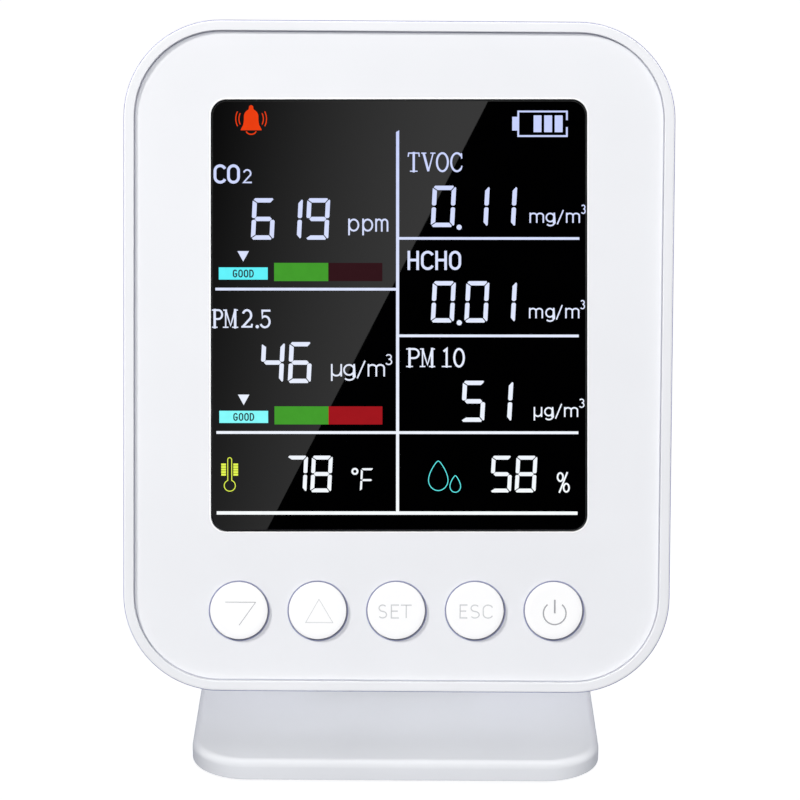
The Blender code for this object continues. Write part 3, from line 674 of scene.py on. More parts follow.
def front_panel(looks):
    """The flat face in its shallow groove, with the window, a white ring round it as a painted highlight on
    its edge, and the chamfered button holes. The groove and the holes' chamfers are coloured darker as
    painted shade.
    """
    front, back = -PANEL_DEPTH, -PANEL_BACK
    edge = WALL + 0.04
    steps = ((GROOVE_WIDTH + 0.03, 0.0), (GROOVE_WIDTH, 0.03), (GROOVE_WIDTH, GROOVE_DEPTH))
    steps += ((0.0, GROOVE_DEPTH),)
    rings = [at_level(head_outline(edge + inset), front - drop) for inset, drop in steps]
    borders = [rings + [at_level(head_outline(edge), back)]]
    window = window_outline(0.0)
    steps = ((0.02, 0.0), (0.0, 0.02), (0.0, 2.0))
    borders.append([at_level(grown(window, grow), front - drop) for grow, drop in steps])
    hole_reach = 7.0
    places = [Vector(place) for stem, place in button_places().values()]
    for place in places:
        rings = []
        for grow, drop in ((HOLE_CHAMFER, 0.0), (0.0, HOLE_CHAMFER), (0.0, PANEL_BACK - PANEL_DEPTH)):
            centre = towards_eye(place + HOLE_SHIFT, -drop)
            rings.append(at_level(circle(BUTTON_RADIUS + HOLE_GAP + grow, 96, centre), front - drop))
        borders.append(rings)
    plate = holed_plate(borders)
    piece = publish("front_panel_fine", plate, looks["panel"], ["front_panel"])
    piece.data.materials.append(looks["groove"])
    piece.data.materials.append(looks["hole_edge"])
    # The groove's faces get the grey painted shade, and the holes' chamfers the lavender painted shade.
    for face in piece.data.polygons:
        centre = ON_SHEET @ face.center
        if 0.04 < front - centre.z < 0.3:
            near_hole = any((place - centre.to_2d()).length < hole_reach for place in places)
            face.material_index = 2 if near_hole else 1
    even_shading(piece)
    # A white ring round the window stands in for the highlight on its edge: a painted highlight.
    corners = [(0.0, -1.3, 0.0), (0.0, 0.05, 0.04), (WINDOW_HIGHLIGHT_WIDTH, 0.05, 0.04), (WINDOW_HIGHLIGHT_WIDTH, -0.1, 0.0)]
    section = eased(corners, 3)
    rings = [at_level(grown(window, grow), front + rise) for grow, rise in section]
    edge_highlight = publish("window_trim", loft(rings, True), looks["button"])
    even_shading(edge_highlight)


def window_outline(inset):
    """The window's edge on the head's sheet."""
    size = WINDOW_HIGH - WINDOW_LOW
    outline = rounded_rectangle(
        size.x - 2 * inset, size.y - 2 * inset, WINDOW_CORNER - inset, tuple(WINDOW_CENTRE.to_2d()), 16
    )
    fitted = [(FITTED @ Vector((x, y, 0.0))).to_2d() for x, y in outline]
    return [(x * (1.0 - WINDOW_TAPER * (y - WINDOW_LOW.y - TAPER_LEVEL)), y) for x, y in fitted]


def towards_eye(place, rise):
    """A place shifted so that, from in front, it stays behind the same point of the panel when it rises."""
    return tuple(Vector(place) + (EYE - Vector(place)) * rise / EYE_DISTANCE)


def flared_cutter(outline, surface, depth, lip=0.3):
    """A cutter along -z into a face at this level that looks along -z, with a chamfered mouth."""
    levels = ((lip + 0.1, -2.0), (lip + 0.1, -0.1), (0.0, lip), (0.0, depth))
    return loft([at_level(grown(outline, grow), surface + level) for grow, level in levels])


def case_screw_places():
    return [centre_of(f"case_screw_{number}", SHEET) for number in range(1, 5)]


def rear_cover(looks):
    """The back shell with eased edges, air slots, sound holes, screw wells and the charging slot."""
    front = PARTING_DEPTH + GAP
    step = front + 1.35
    section = arc((REAR_FILLET, HEAD_DEPTH - REAR_FILLET), REAR_FILLET, 90, 180, 16)
    section += [(0.0, front + 0.3), (0.09, front + 0.09), (0.3, front), (WALL - 1.0, front)]
    section += [(WALL - 1.0, step), (WALL, step)]
    inner = REAR_FILLET - WALL
    back_wall = HEAD_DEPTH - 2.0
    section += arc((REAR_FILLET, back_wall - inner), inner, 180, 90, 8)
    shell = loft([at_level(head_outline(inset), -depth) for inset, depth in section])
    piece = publish("rear_cover_fine", shell, looks["cover"], ["rear_cover"])
    back = -HEAD_DEPTH
    cutters = []
    for row in range(6):
        for x in (-21.0, 21.0):
            slot = rounded_rectangle(30.0, 1.8, 0.89, (x, 96.0 + 4.0 * row), 6)
            cutters.append(flared_cutter(slot, back, 3.0))
    buzzer_x, buzzer_y = centre_of("buzzer", SHEET)
    for x, y in ((0.0, 0.0), (3.0, 0.0), (-3.0, 0.0), (0.0, 3.0), (0.0, -3.0)):
        hole = circle(0.8, 24, (buzzer_x + x, buzzer_y + y))
        cutters.append(flared_cutter(hole, back, 3.0, 0.2))
    for place in case_screw_places():
        cutters.append(flared_cutter(circle(2.4, 40, place), back, 3.5, 0.3))
    cut(piece, merged(cutters), SHEET, "back_openings")
    cut(piece, side_openings(), SHEET, "side_openings")
    reshade(piece)
    wall = [(3.4, -18.0), (3.4, -26.1), (2.4, -26.1), (2.4, -19.0), (1.4, -19.0), (1.4, -18.0)]
    for number, place in enumerate(case_screw_places()):
        well = loft([at_level(circle(radius, 40, place), level) for radius, level in wall], True)
        publish(f"screw_well_{number + 1}", well, looks["cover"])


def side_openings():
    """The air slots in both side walls and the charging slot in the right one."""
    cutters = []
    for row in range(8):
        outline = rounded_rectangle(8.0, 1.6, 0.5, (17.0, 84.0 + 4.0 * row), 5)
        for side in (-1, 1):
            cutters.append(moved(flared_cutter(outline, 0.0, 4.0), into_side(side)))
    low, high = extent("charging_socket", SHEET)
    outline = rounded_rectangle(3.8, 9.5, 1.85, (-(low.z + high.z) / 2, (low.y + high.y) / 2), 12)
    cutters.append(moved(flared_cutter(outline, 0.0, 4.0, 0.35), into_side(1)))
    return merged(cutters)


def into_side(side):
    """Places a cutter drawn as (depth, height, inwards) so that it enters a side wall."""
    return Matrix(((0, 0, -side, side * HEAD_WIDTH / 2), (0, 1, 0, 0), (-1, 0, 0, 0), (0, 0, 0, 1)))


# ---------------------------------------------------------------- display


def lens(looks):
    """The black window lens with polished edges."""
    rings = [at_level(window_outline(LENS_GAP), LENS_LOW.z)]
    for inset, drop in arc((0.12, 0.12), 0.12, 180, 270, 4):
        rings.append(at_level(window_outline(LENS_GAP + inset), LENS_HIGH.z - drop))
    piece = publish("lens_fine", loft(rings), looks["lens"], ["display_lens"])
    even_shading(piece)


MARK_LOW = -0.05
MARK_HIGH = 0.05
SLANT = 0.052


def digit_segments(width, height, thick):
    """The seven segments of a digit, each as a counter-clockwise outline."""
    t, w, h, m = thick, width, height, height / 2
    top = [(t, h - t), (w - 1.02 * t, h - t), (w - 0.42 * t, h - 0.35 * t), (w - 0.6 * t, h), (0.5 * t, h)]
    top += [(0.14 * t, h - 0.42 * t)]
    shoulder, point = m + 0.36 * t, m + 0.08 * t
    upper_left = [(0.0, shoulder), (0.25 * t, point), (0.75 * t, point), (t, shoulder)]
    upper_left += [(t, h - t), (0.14 * t, h - 0.42 * t), (0.0, h - 0.6 * t)]
    upper_right = [(w - t, shoulder), (w - 0.75 * t, point), (w - 0.25 * t, point), (w, shoulder)]
    upper_right += [(w, h - 0.5 * t), (w - 0.2 * t, h - 0.26 * t), (w - 0.4 * t, h - 0.3 * t)]
    upper_right += [(w - t, h - t)]
    middle = [(t, m - 0.5 * t), (w - t, m - 0.5 * t), (w - 0.5 * t, m), (w - t, m + 0.5 * t)]
    middle += [(t, m + 0.5 * t), (0.5 * t, m)]

    def mirrored(outline):
        return [(x, h - y) for x, y in outline][::-1]

    return {
        "a": top,
        "b": upper_right,
        "c": mirrored(upper_right),
        "d": mirrored(top),
        "e": mirrored(upper_left),
        "f": upper_left,
        "g": middle,
    }


LIT_SEGMENTS = {
    "0": "abcdef", "1": "bc", "4": "bcfg", "5": "acdfg", "6": "acdefg", "7": "abc", "8": "abcdefg",
    "9": "abcdfg", "F": "aefg",
}


def digits(text, x, y, width, height, thick=1.06, pitch=5.55, seam=0.095):
    """Lit digits. The left edge and the baseline are those of the first digit."""
    parts = []
    for character in text:
        if character == ".":
            parts.append(prism(circle(0.53, 20, (x + 0.3, y + 0.06)), MARK_LOW, MARK_HIGH))
            x += 1.2
            continue
        segments = digit_segments(width, height, thick)
        for key in LIT_SEGMENTS[character]:
            outline = grown(segments[key], -seam)
            placed = [(x + px + py * SLANT, y + py) for px, py in outline]
            parts.append(prism(placed, MARK_LOW, MARK_HIGH))
        x += pitch
    return parts


def bow(centre_x, centre_y, wide, tall, start, end, steps=16):
    return arc((centre_x, centre_y), (wide, tall), start, end, steps)


def sans_strokes():
    """Strokes of plain letters in a box one unit wide and one unit tall."""
    long_bow = bow(0.5, 0.68, 0.5, 0.32, 25, 180) + bow(0.5, 0.32, 0.5, 0.32, 180, 335)
    oval = bow(0.5, 0.68, 0.5, 0.32, 0, 180) + bow(0.5, 0.32, 0.5, 0.32, 180, 360)
    stem = [(0.0, 0.0), (0.0, 1.0)]
    right_stem = [(1.0, 0.0), (1.0, 1.0)]
    arches = [bow(x, 0.72, 0.25, 0.28, 180, 0) + [(x + 0.25, 0.0)] for x in (0.25, 0.75)]
    belly = bow(0.35, 0.5, 0.65, 0.5, 80, -80)
    tail = bow(0.52, -0.1, 0.48, 0.3, 0, -150, 10)
    cup = bow(0.48, 0.35, 0.48, 0.35, 180, 320)
    rounds = [bow(x, y, 0.22, 0.2, 0, 360) for x, y in ((0.26, 0.76), (0.74, 0.24))]
    return {
        "C": [long_bow],
        "O": [oval + oval[:1]],
        "G": [long_bow + [(0.98, 0.45), (0.6, 0.45)]],
        "D": [stem + [(0.35, 1.0)] + belly + [(0.35, 0.0), (0.0, 0.0)]],
        "H": [stem, right_stem, [(0.0, 0.52), (1.0, 0.52)]],
        "T": [[(0.5, 0.0), (0.5, 1.0)], [(0.0, 1.0), (1.0, 1.0)]],
        "E": [[(1.0, 1.0), (0.0, 1.0), (0.0, 0.0), (1.0, 0.0)], [(0.0, 0.53), (0.85, 0.53)]],
        "S": [bow(0.5, 0.755, 0.44, 0.245, 35, 270) + bow(0.5, 0.25, 0.48, 0.25, 90, -145)],
        "2": [bow(0.5, 0.72, 0.46, 0.28, 165, -30) + [(0.02, 0.0), (1.0, 0.0)]],
        "3": [bow(0.45, 0.77, 0.45, 0.23, 150, -90), bow(0.45, 0.27, 0.52, 0.27, 90, -150)],
        "/": [[(0.0, 0.0), (1.0, 1.0)]],
        "p": [[(0.0, -0.33), (0.0, 1.0)], bow(0.5, 0.5, 0.5, 0.5, 0, 360)],
        "m": [stem, *arches],
        "g": [bow(0.5, 0.53, 0.5, 0.47, 0, 360), [(1.0, 1.0), (1.0, -0.1)] + tail],
        "u": [[(0.0, -0.42), (0.0, 1.0)], [(0.0, 0.4)] + cup + [(1.0, 0.4)], right_stem[::-1]],
        "%": [*rounds, [(0.18, 0.0), (0.82, 1.0)]],
    }


def serif_strokes():
    """Strokes of lettering with feet, as (line, weight) pairs; heavy stems weigh 1 and hairlines less."""
    thin, foot = 0.55, 0.5
    eye = bow(0.56, 0.74, 0.38, 0.26, 90, -90)
    swan_neck = bow(0.48, 0.7, 0.38, 0.3, 160, -35) + [(0.08, 0.02)]

    def feet(*places):
        return [([(x - reach, y), (x + reach, y)], foot) for x, y, reach in places]

    return {
        "T": [([(0.5, 0.0), (0.5, 1.0)], 1.0), ([(0.02, 0.8), (0.06, 1.0), (0.94, 1.0), (0.98, 0.8)], thin)]
        + feet((0.5, 0.0, 0.28)),
        "V": [([(0.12, 1.0), (0.52, 0.0)], 1.0), ([(0.52, 0.0), (0.9, 1.0)], thin)]
        + feet((0.14, 1.0, 0.16), (0.88, 1.0, 0.16)),
        "O": [(bow(0.5, 0.5, 0.44, 0.5, 0, 360, 28), 0.85)],
        "C": [
            (bow(0.52, 0.5, 0.46, 0.5, 42, 318, 24), 0.85),
            ([(0.9, 0.7), (0.88, 1.0)], thin),
            ([(0.92, 0.3), (0.86, 0.12)], thin),
        ],
        "P": [([(0.2, 0.0), (0.2, 1.0)], 1.0), ([(0.2, 1.0), (0.5, 1.0)] + eye + [(0.2, 0.48)], 0.8)]
        + feet((0.2, 0.0, 0.22), (0.12, 1.0, 0.14)),
        "M": [
            ([(0.14, 0.0), (0.14, 1.0)], thin),
            ([(0.14, 1.0), (0.5, 0.1), (0.84, 1.0)], 0.8),
            ([(0.84, 1.0), (0.84, 0.0)], 1.0),
        ]
        + feet((0.14, 0.0, 0.16), (0.84, 0.0, 0.18), (0.1, 1.0, 0.1), (0.9, 1.0, 0.1)),
        "1": [([(0.5, 0.0), (0.5, 1.0), (0.2, 0.86)], 0.9)] + feet((0.5, 0.0, 0.4)),
        "0": [(bow(0.5, 0.5, 0.42, 0.5, 0, 360, 28), 0.9)],
        "2": [(swan_neck, 0.9), ([(0.04, 0.03), (0.9, 0.03), (0.94, 0.2)], 0.75)],
        "5": [([(0.88, 0.97), (0.22, 0.97), (0.2, 0.52)] + bow(0.46, 0.32, 0.44, 0.32, 118, -155), 0.85)],
    }


SANS = sans_strokes()
SERIF = serif_strokes()


def stroke_part(line, x, y, width, height, weight, number):
    """One stroke of a letter. Strokes end a hair apart in height, so that none lie in one plane."""
    placed = [(x + px * width, y + py * height) for px, py in line]
    closed = len(placed) > 4 and (Vector(placed[0]) - Vector(placed[-1])).length < 0.05
    if closed:
        return ribbon(placed[:-1], weight, MARK_LOW, MARK_HIGH + 0.002 * number, True)
    for end, beside in ((0, 1), (-1, -2)):
        run = Vector(placed[end]) - Vector(placed[beside])
        if min(abs(run.x), abs(run.y)) < 0.001:
            placed[end] = tuple(Vector(placed[end]) + run.normalized() * weight / 2)
    return ribbon(placed, weight, MARK_LOW, MARK_HIGH + 0.002 * number)


def sans(text, boxes, y, height, weight, lift=0.0):
    """Plain lettering. Each letter has its own (left, right) edges, to the outside of its strokes."""
    parts = []
    edge = weight / 2
    for character, (left, right) in zip(text, boxes):
        width, tall = right - left - weight, height - weight
        for number, line in enumerate(SANS[character]):
            parts.append(stroke_part(line, left + edge, y + edge, width, tall, weight, number + lift))
    return parts


def serif(text, boxes, y, height, weight):
    parts = []
    for character, (left, right) in zip(text, boxes):
        if character == ".":
            parts.append(prism(circle(0.34, 16, ((left + right) / 2, y + 0.34)), MARK_LOW, MARK_HIGH))
            continue
        edge = weight * 0.45
        width, tall = right - left - 2 * edge, height - 2 * edge
        for number, (line, share) in enumerate(SERIF[character]):
            parts.append(stroke_part(line, left + edge, y + edge, width, tall, weight * share, number))
    return parts


def unit(text, boxes, y, height, weight, slash, power):
    """A unit with a slash and a raised 3; slash and power are (bottom, top) heights."""
    parts = []
    for character, edges in zip(text, boxes):
        if character == "/":
            parts += sans("/", [edges], slash[0], slash[1] - slash[0], weight * 0.9)
        elif character == "3":
            parts += sans("3", [edges], power[0], power[1] - power[0], weight * 0.75)
        else:
            parts += sans(character, [edges], y, height, weight)
    return parts


def rectangle(left, right, bottom, top):
    return [(left, bottom), (right, bottom), (right, top), (left, top)]


def plates(*outlines):
    return [prism(outline, MARK_LOW, MARK_HIGH) for outline in outlines]


def show(name, parts, look):
    """Publishes lit marks on the lens."""
    return publish(name, merged(parts), look, space=DISPLAY, sharp=math.radians(20))


def grid(looks):
    """The lines between the readings."""
    upright = [(37.13, 3.1), (37.75, 3.1), (37.75, 80.15), (37.13, 79.8)]
    lines = [upright]
    for left, right, height, thick in (
        (37.5, 73.85, 58.6, 0.52), (0.9, 37.3, 48.42, 0.54), (37.5, 73.8, 39.08, 0.54),
        (1.0, 73.8, 19.6, 0.56), (1.0, 73.7, 3.35, 0.68),
    ):
        lines.append(rectangle(left, right, height - thick / 2, height + thick / 2))
    parts = []
    for number, line in enumerate(lines):
        parts.append(prism(line, MARK_LOW, MARK_HIGH + 0.002 * number))
    show("display_lines", parts, looks["white_light"])


# Each reading: its piece, its digits, the first one's left edge and base line, their width, height and
# stroke, and the pitch. These and the labels' edges below were measured on the photograph's display.
READINGS = (
    ("reading_carbon_dioxide", "619", 7.93, 58.22, 4.78, 8.48, 1.06, 5.46),
    ("reading_fine_dust", "46", 9.7, 29.47, 4.8, 8.43, 1.06, 5.56),
    ("reading_organic_vapour", "0.11", 43.96, 60.77, 4.88, 8.45, 1.06, 5.5),
    ("reading_formaldehyde", "0.01", 43.98, 41.65, 4.82, 8.5, 1.06, 5.53),
    ("reading_coarse_dust", "51", 50.05, 21.68, 4.88, 8.48, 1.06, 5.45),
    ("reading_temperature", "78", 14.77, 7.45, 4.38, 7.58, 0.97, 4.97),
    ("reading_humidity", "58", 55.95, 7.44, 4.4, 7.6, 0.97, 4.95),
)


def readings(looks):
    for name, text, x, y, width, height, thick, pitch in READINGS:
        show(name, digits(text, x, y, width, height, thick, pitch), looks["white_light"])
    degree = [ribbon(circle(0.52, 24, (28.85, 11.77)), 0.38, MARK_LOW, MARK_HIGH, True)]
    fahrenheit = digits("F", 29.73, 7.53, 2.86, 4.97, 0.6)
    show("unit_temperature", degree + fahrenheit, looks["white_light"])
    percent = sans("%", [(69.38, 72.25)], 7.32, 4.5, 0.34)
    show("unit_humidity", percent, looks["white_light"])


# Each label: its piece, kind of lettering, text, letter edges, base line, height and weight. A unit with a
# slash also has the bottom and top of the slash and of the raised 3.
LABELS = (
    ("label_formaldehyde", "sans", "HCHO",
     ((39.43, 41.72), (42.13, 44.8), (45.0, 47.32), (47.75, 50.17)),
     52.28, 3.84, 0.52),
    ("label_organic_vapour", "serif", "TVOC",
     ((39.3, 42.03), (42.12, 44.99), (44.93, 47.85), (47.78, 50.7)),
     71.8, 4.02, 0.46),
    ("label_fine_dust", "serif", "PM2.5",
     ((0.12, 2.57), (2.35, 5.5), (5.96, 8.58), (8.95, 9.6), (9.62, 12.19)),
     40.55, 3.87, 0.48),
    ("label_coarse_dust", "serif", "PM10",
     ((39.12, 42.07), (41.85, 45.02), (46.01, 48.58), (48.42, 51.14)),
     32.7, 3.95, 0.48),
    ("unit_carbon_dioxide", "sans", "ppm",
     ((27.55, 29.77), (30.36, 32.55), (32.96, 35.58)),
     59.95, 2.59, 0.34),
    ("unit_fine_dust", "unit", "ug/m3",
     ((24.06, 26.28), (26.51, 28.87), (29.19, 31.04), (31.43, 34.9), (34.99, 36.4)),
     30.9, 2.5, 0.32, (30.4, 34.2), (33.2, 35.4)),
    ("unit_organic_vapour", "unit", "mg/m3",
     ((63.84, 66.76), (67.05, 68.94), (69.27, 70.75), (71.15, 73.96), (74.15, 75.12)),
     61.72, 2.04, 0.3, (61.3, 64.42), (63.5, 65.38)),
    ("unit_formaldehyde", "unit", "mg/m3",
     ((63.8, 66.62), (67.06, 68.91), (69.17, 70.59), (71.07, 73.92), (74.07, 75.06)),
     42.62, 2.09, 0.3, (42.22, 45.4), (44.42, 46.3)),
    ("unit_coarse_dust", "unit", "ug/m3",
     ((64.8, 66.54), (66.9, 68.75), (69.07, 70.55), (70.91, 73.76), (73.9, 75.05)),
     22.78, 2.0, 0.3, (22.3, 25.55), (24.62, 26.48)),
)


def labels(looks):
    """What each reading measures, and its unit."""
    white = looks["white_light"]
    parts = sans("CO", [(0.63, 3.28), (3.33, 5.9)], 69.5, 3.85, 0.56)
    parts += sans("2", [(6.45, 8.27)], 69.58, 2.82, 0.32)
    show("label_carbon_dioxide", parts, white)
    lettering = {"sans": sans, "serif": serif, "unit": unit}
    for name, kind, *drawn in LABELS:
        show(name, lettering[kind](*drawn), white)


def quality_scales(looks):
    """Under each main reading: a marker, a lit word box and the rest of the scale."""
    scales = (
        ("carbon_dioxide", 50.0, "blue_light", "dim_crimson"),
        ("fine_dust", 21.2, "cyan_light", "crimson_light"),
    )
    for name, base, lamp, rest in scales:
        low, high = base + 0.03, base + 3.68
        marker = [(6.5, base + 3.93), (7.66, base + 6.03), (5.36, base + 6.03)]
        show(f"marker_{name}", plates(marker), looks["white_light"])
        show(f"good_box_{name}", plates(rectangle(1.6, 11.41, base + 0.32, base + 2.77)), looks[lamp])
        boxes = [(4.4 + 1.1 * i, 5.33 + 1.1 * i) for i in range(4)]
        word = sans("GOOD", boxes, base + 0.74, 1.6, 0.26, 15)
        show(f"good_word_{name}", word, looks["ink"])
        show(f"scale_green_{name}", plates(rectangle(12.69, 23.54, low, high)), looks["green_light"])
        show(f"scale_red_{name}", plates(rectangle(23.54, 34.39, low, high)), looks[rest])


def bell(looks):
    """The alarm bell with its clapper and four ringing lines."""
    x, y = 8.18, 80.13
    right = [(2.07, 0.0), (2.07, 0.2), (1.6, 1.05), (1.46, 1.9)]
    right += bow(0.0, 2.7, 1.45, 1.5, 0, 66, 8) + [(0.46, 4.3)] + bow(0.0, 4.55, 0.44, 0.45, -10, 90, 5)
    outline = right + [(-px, py) for px, py in right[::-1][1:]]
    parts = [prism([(x + px, y + py) for px, py in outline], MARK_LOW, MARK_HIGH)]
    clapper = arc((x, y - 0.1), (0.98, 0.7), 188, 352, 12)
    parts.append(ribbon(clapper, 0.24, MARK_LOW, MARK_HIGH))
    for side in (0, 180):
        for reach, spread in ((2.44, 26.5), (3.07, 28)):
            line = arc((x, y + 2.28), (reach, reach * 1.02), side - spread, side + spread, 12)
            parts.append(ribbon(line, 0.2, MARK_LOW, MARK_HIGH))
    show("alarm_bell", parts, looks["red_light"])


def battery_symbol(looks):
    stroke = 0.36
    left, right, bottom, top = 61.54, 71.25, 79.03, 83.92
    line = [(right, 82.2), (right, top), (left, top), (left, bottom), (right, bottom), (right, 80.82)]
    parts = [ribbon(line, stroke, MARK_LOW, MARK_HIGH)]
    parts += plates(rectangle(60.33, 61.36, 80.12, 82.86))
    for start in (64.6, 66.72, 68.82):
        parts += plates(rectangle(start, start + 1.58, 79.8, 83.14))
    show("battery_symbol", parts, looks["white_light"])


def thermometer(looks):
    x, bulb_y = 3.65, 8.87
    bulb, half, top = 1.12, 0.4, 14.52
    open_deg = math.degrees(math.asin(half / bulb))
    line = arc((x, bulb_y), bulb, 90 + open_deg, 450 - open_deg, 28) + arc((x, top - half), half, 0, 180, 8)
    parts = [ribbon(line, 0.17, MARK_LOW, MARK_HIGH, True)]
    for left in (1.94, 4.38):
        for bar in range(5):
            low = 10.88 + 0.51 * bar
            parts += plates(rectangle(left, left + 0.95, low, low + 0.42))
    show("thermometer_symbol", parts, looks["lime_light"])


def drop_outline(x, bottom, top, half):
    """A pointed drop: a round bottom whose sides lean in to the tip."""
    height = top - bottom
    points = []
    steps = 36
    for step in range(steps):
        angle = 2 * math.pi * step / steps + math.pi / 2
        lift = math.sin(angle)
        pinch = 1.0 - 0.5 * max(lift, 0.0) ** 1.6
        rise = bottom + height * (0.36 + (0.36 if lift < 0 else 0.64) * lift)
        points.append((x + half * math.cos(angle) * pinch, rise))
    return points


def drops(looks):
    parts = [ribbon(drop_outline(45.63, 7.9, 13.87, 1.97), 0.17, MARK_LOW, MARK_HIGH, True)]
    parts.append(ribbon(drop_outline(49.06, 7.56, 10.92, 1.08), 0.17, MARK_LOW, MARK_HIGH, True))
    show("drops_symbol", parts, looks["aqua_light"])


def display(looks):
    for draw in (lens, grid, readings, labels, quality_scales, bell, battery_symbol, thermometer, drops):
        draw(looks)


# ---------------------------------------------------------------- buttons


def buttons(looks):
    """Caps with an eased rim over a narrower skirt, their sides below the face coloured grey as painted
    shade; each one's mark is a thin inlay that rides with it.
    """
    stem_end = extent("button_set", SHEET)[0].z
    face_level = CAP_RISE - PANEL_DEPTH
    for name, (stem, place) in button_places().items():
        inside = [(2.5, stem_end), (2.5, -4.0), (6.7, -4.0), (6.7, -3.2)]
        skirt = BUTTON_RADIUS - 0.2
        outside = [(skirt, -3.2), (skirt, face_level - 0.85)]
        outside += [(BUTTON_RADIUS, face_level - 0.35), (BUTTON_RADIUS, face_level - 0.06)]
        outside += [(BUTTON_RADIUS - 0.02, face_level - 0.02), (BUTTON_RADIUS - 0.06, face_level)]
        outside += [(BUTTON_RADIUS - 1.2, face_level)]
        rings = [at_level(circle(radius, 96, stem), level) for radius, level in inside]
        for radius, level in outside:
            rings.append(at_level(circle(radius, 96, towards_eye(place, level + PANEL_DEPTH)), level))
        body = f"{name}_button"
        replaced = [f"button_{name}"]
        cap = publish(f"cap_{name}", loft(rings), looks["button"], replaced, body=body)
        cap.data.materials.append(looks["button_side"])
        # Faces below the cap's face get the grey painted shade.
        for face in cap.data.polygons:
            if (ON_SHEET @ face.center).z < face_level - 0.1:
                face.material_index = 1
        even_shading(cap)
        mark = merged(button_mark(name))
        look = looks["marking_dark" if name in ("power", "down") else "marking"]
        space = SHEET @ Matrix.Translation((*towards_eye(place, CAP_RISE), face_level))
        publish(f"mark_{name}", mark, look, space=space, body=body)


def button_mark(name):
    """Thin marks around the middle of each button's face."""
    low, high = -0.03, 0.012
    if name == "down":
        return [ribbon([(-2.75, 1.7), (3.35, 1.7), (0.05, -2.95)], 0.13, low, high)]
    if name == "up":
        return [ribbon([(0.27, 2.3), (-2.4, -2.45), (3.1, -2.45)], 0.12, low, high, True)]
    if name == "power":
        centre = (0.24, -0.55)
        ring = arc(centre, 2.28, 130, 410, 40)
        return [ribbon(ring, 0.26, low, high), ribbon([centre, (0.24, 2.2)], 0.32, low, high + 0.002)]
    word, edges = {
        "set": ("SET", ((-3.56, -1.92), (-0.98, 0.56), (0.93, 3.1))),
        "escape": ("ESC", ((-2.97, -1.5), (-0.88, 0.9), (1.68, 3.62))),
    }[name]
    parts = []
    base, height = -1.5, 2.62
    for character, (left, right) in zip(word, edges):
        for line in SANS[character]:
            placed = [(left + px * (right - left), base + py * height) for px, py in line]
            closed = len(placed) > 4 and (Vector(placed[0]) - Vector(placed[-1])).length < 0.05
            parts.append(ribbon(placed[:-1] if closed else placed, 0.24, low, high, closed))
    return parts


# ---------------------------------------------------------------- screws, hinge and foot


def cross_recess(level, reach=1.15, half=0.28, depth=0.85):
    outline = []
    for cosine, sine in ((1, 0), (0, 1), (-1, 0), (0, -1)):
        for x, y in ((reach, -half), (reach, half), (half, half)):
            outline.append((x * cosine - y * sine, x * sine + y * cosine))
    rings = [at_level(outline, level - 0.5), at_level(outline, level)]
    return loft(rings + [at_level(grown(outline, -0.08), level + depth)])


def screw(node, shaft, head_radius, head_height, looks):
    """A pan-head screw whose head looks along -z, with a crossed recess."""
    place = centre_of(node, SHEET)
    low = extent(node, SHEET)[0].z
    seat = low + head_height
    rim = 0.9
    profile = [(1.1, seat + shaft), (1.1, seat), (head_radius, seat)]
    for angle in (0.0, 0.3, 0.6, 0.9, 1.2, 1.45):
        profile.append((head_radius - rim + rim * math.cos(angle), low + rim - rim * math.sin(angle)))
    piece = publish(f"{node}_fine", turned(profile, 40, place), looks["steel"], [node])
    cut(piece, moved(cross_recess(low), Matrix.Translation((*place, 0.0))), SHEET, "cross")
    reshade(piece)


def screws(looks):
    kinds = (("case_screw", 4, 12.3, 2.0, 1.6), ("bracket_screw", 2, 9.4, 2.2, 1.5))
    for kind, count, shaft, head_radius, head_height in kinds:
        for number in range(1, count + 1):
            screw(f"{kind}_{number}", shaft, head_radius, head_height, looks)


def hinge(looks):
    """The bracket, a plate with eased edges and two rounded ears, and the pin with its clip."""
    low, high = extent("hinge_bracket", SHEET)
    back = high.z
    thick = 2.2
    middle = (low.y + high.y) / 2
    plate_half = 8.5
    pin_low, pin_high = extent("hinge_pin", SHEET)
    axis_y = (pin_low.y + pin_high.y) / 2
    axis_z = (pin_low.z + pin_high.z) / 2
    outline = rounded_rectangle(high.x - low.x, 2 * plate_half, 3.0, (0.0, middle), 12)
    rings = [at_level(outline, back)]
    for inset, rise in arc((0.6, 0.6), 0.6, 180, 270, 6):
        rings.append(at_level(grown(outline, -inset), back - thick + rise))
    plate = loft(rings)
    piece = publish("bracket_plate", plate, looks["cover"], ["hinge_bracket"])
    for number in (1, 2):
        place = centre_of(f"bracket_screw_{number}", SHEET)
        hole = loft([at_level(circle(1.4, 32, place), level) for level in (back + 1.0, back - thick - 1.0)])
        cut(piece, hole, SHEET, "screw_hole")
    even_shading(piece)
    side_view = [(middle + 6.5, back - thick + 0.3)]
    side_view += [(axis_y + up, axis_z - out) for up, out in arc((0.0, 0.0), 5.2, 0, 180, 28)]
    side_view += [(middle - 6.5, back - thick + 0.3)]
    for name, side in (("left", -1), ("right", 1)):
        rings = []
        for inset, x in ((0.5, 18.9), (0.15, 19.05), (0.0, 19.4), (0.0, 22.4), (0.15, 22.75), (0.5, 22.9)):
            ring = grown(side_view, inset if side_area(side_view) < 0 else -inset)
            rings.append([(side * x, y, z) for y, z in ring])
        ear = publish(f"bracket_ear_{name}", loft(rings), looks["cover"])
        cut(ear, bore(4.0, (side * 20.9, axis_y, axis_z)), SHEET, "bore")
        reshade(ear)
    hinge_pin(looks, pin_low, pin_high, Matrix.Translation((0.0, axis_y, axis_z)))


def bore(half, place):
    """A cutter for the pin's hole, along x."""
    return moved(along_x(turned([(2.15, -half), (2.15, half)], 40)), Matrix.Translation(place))


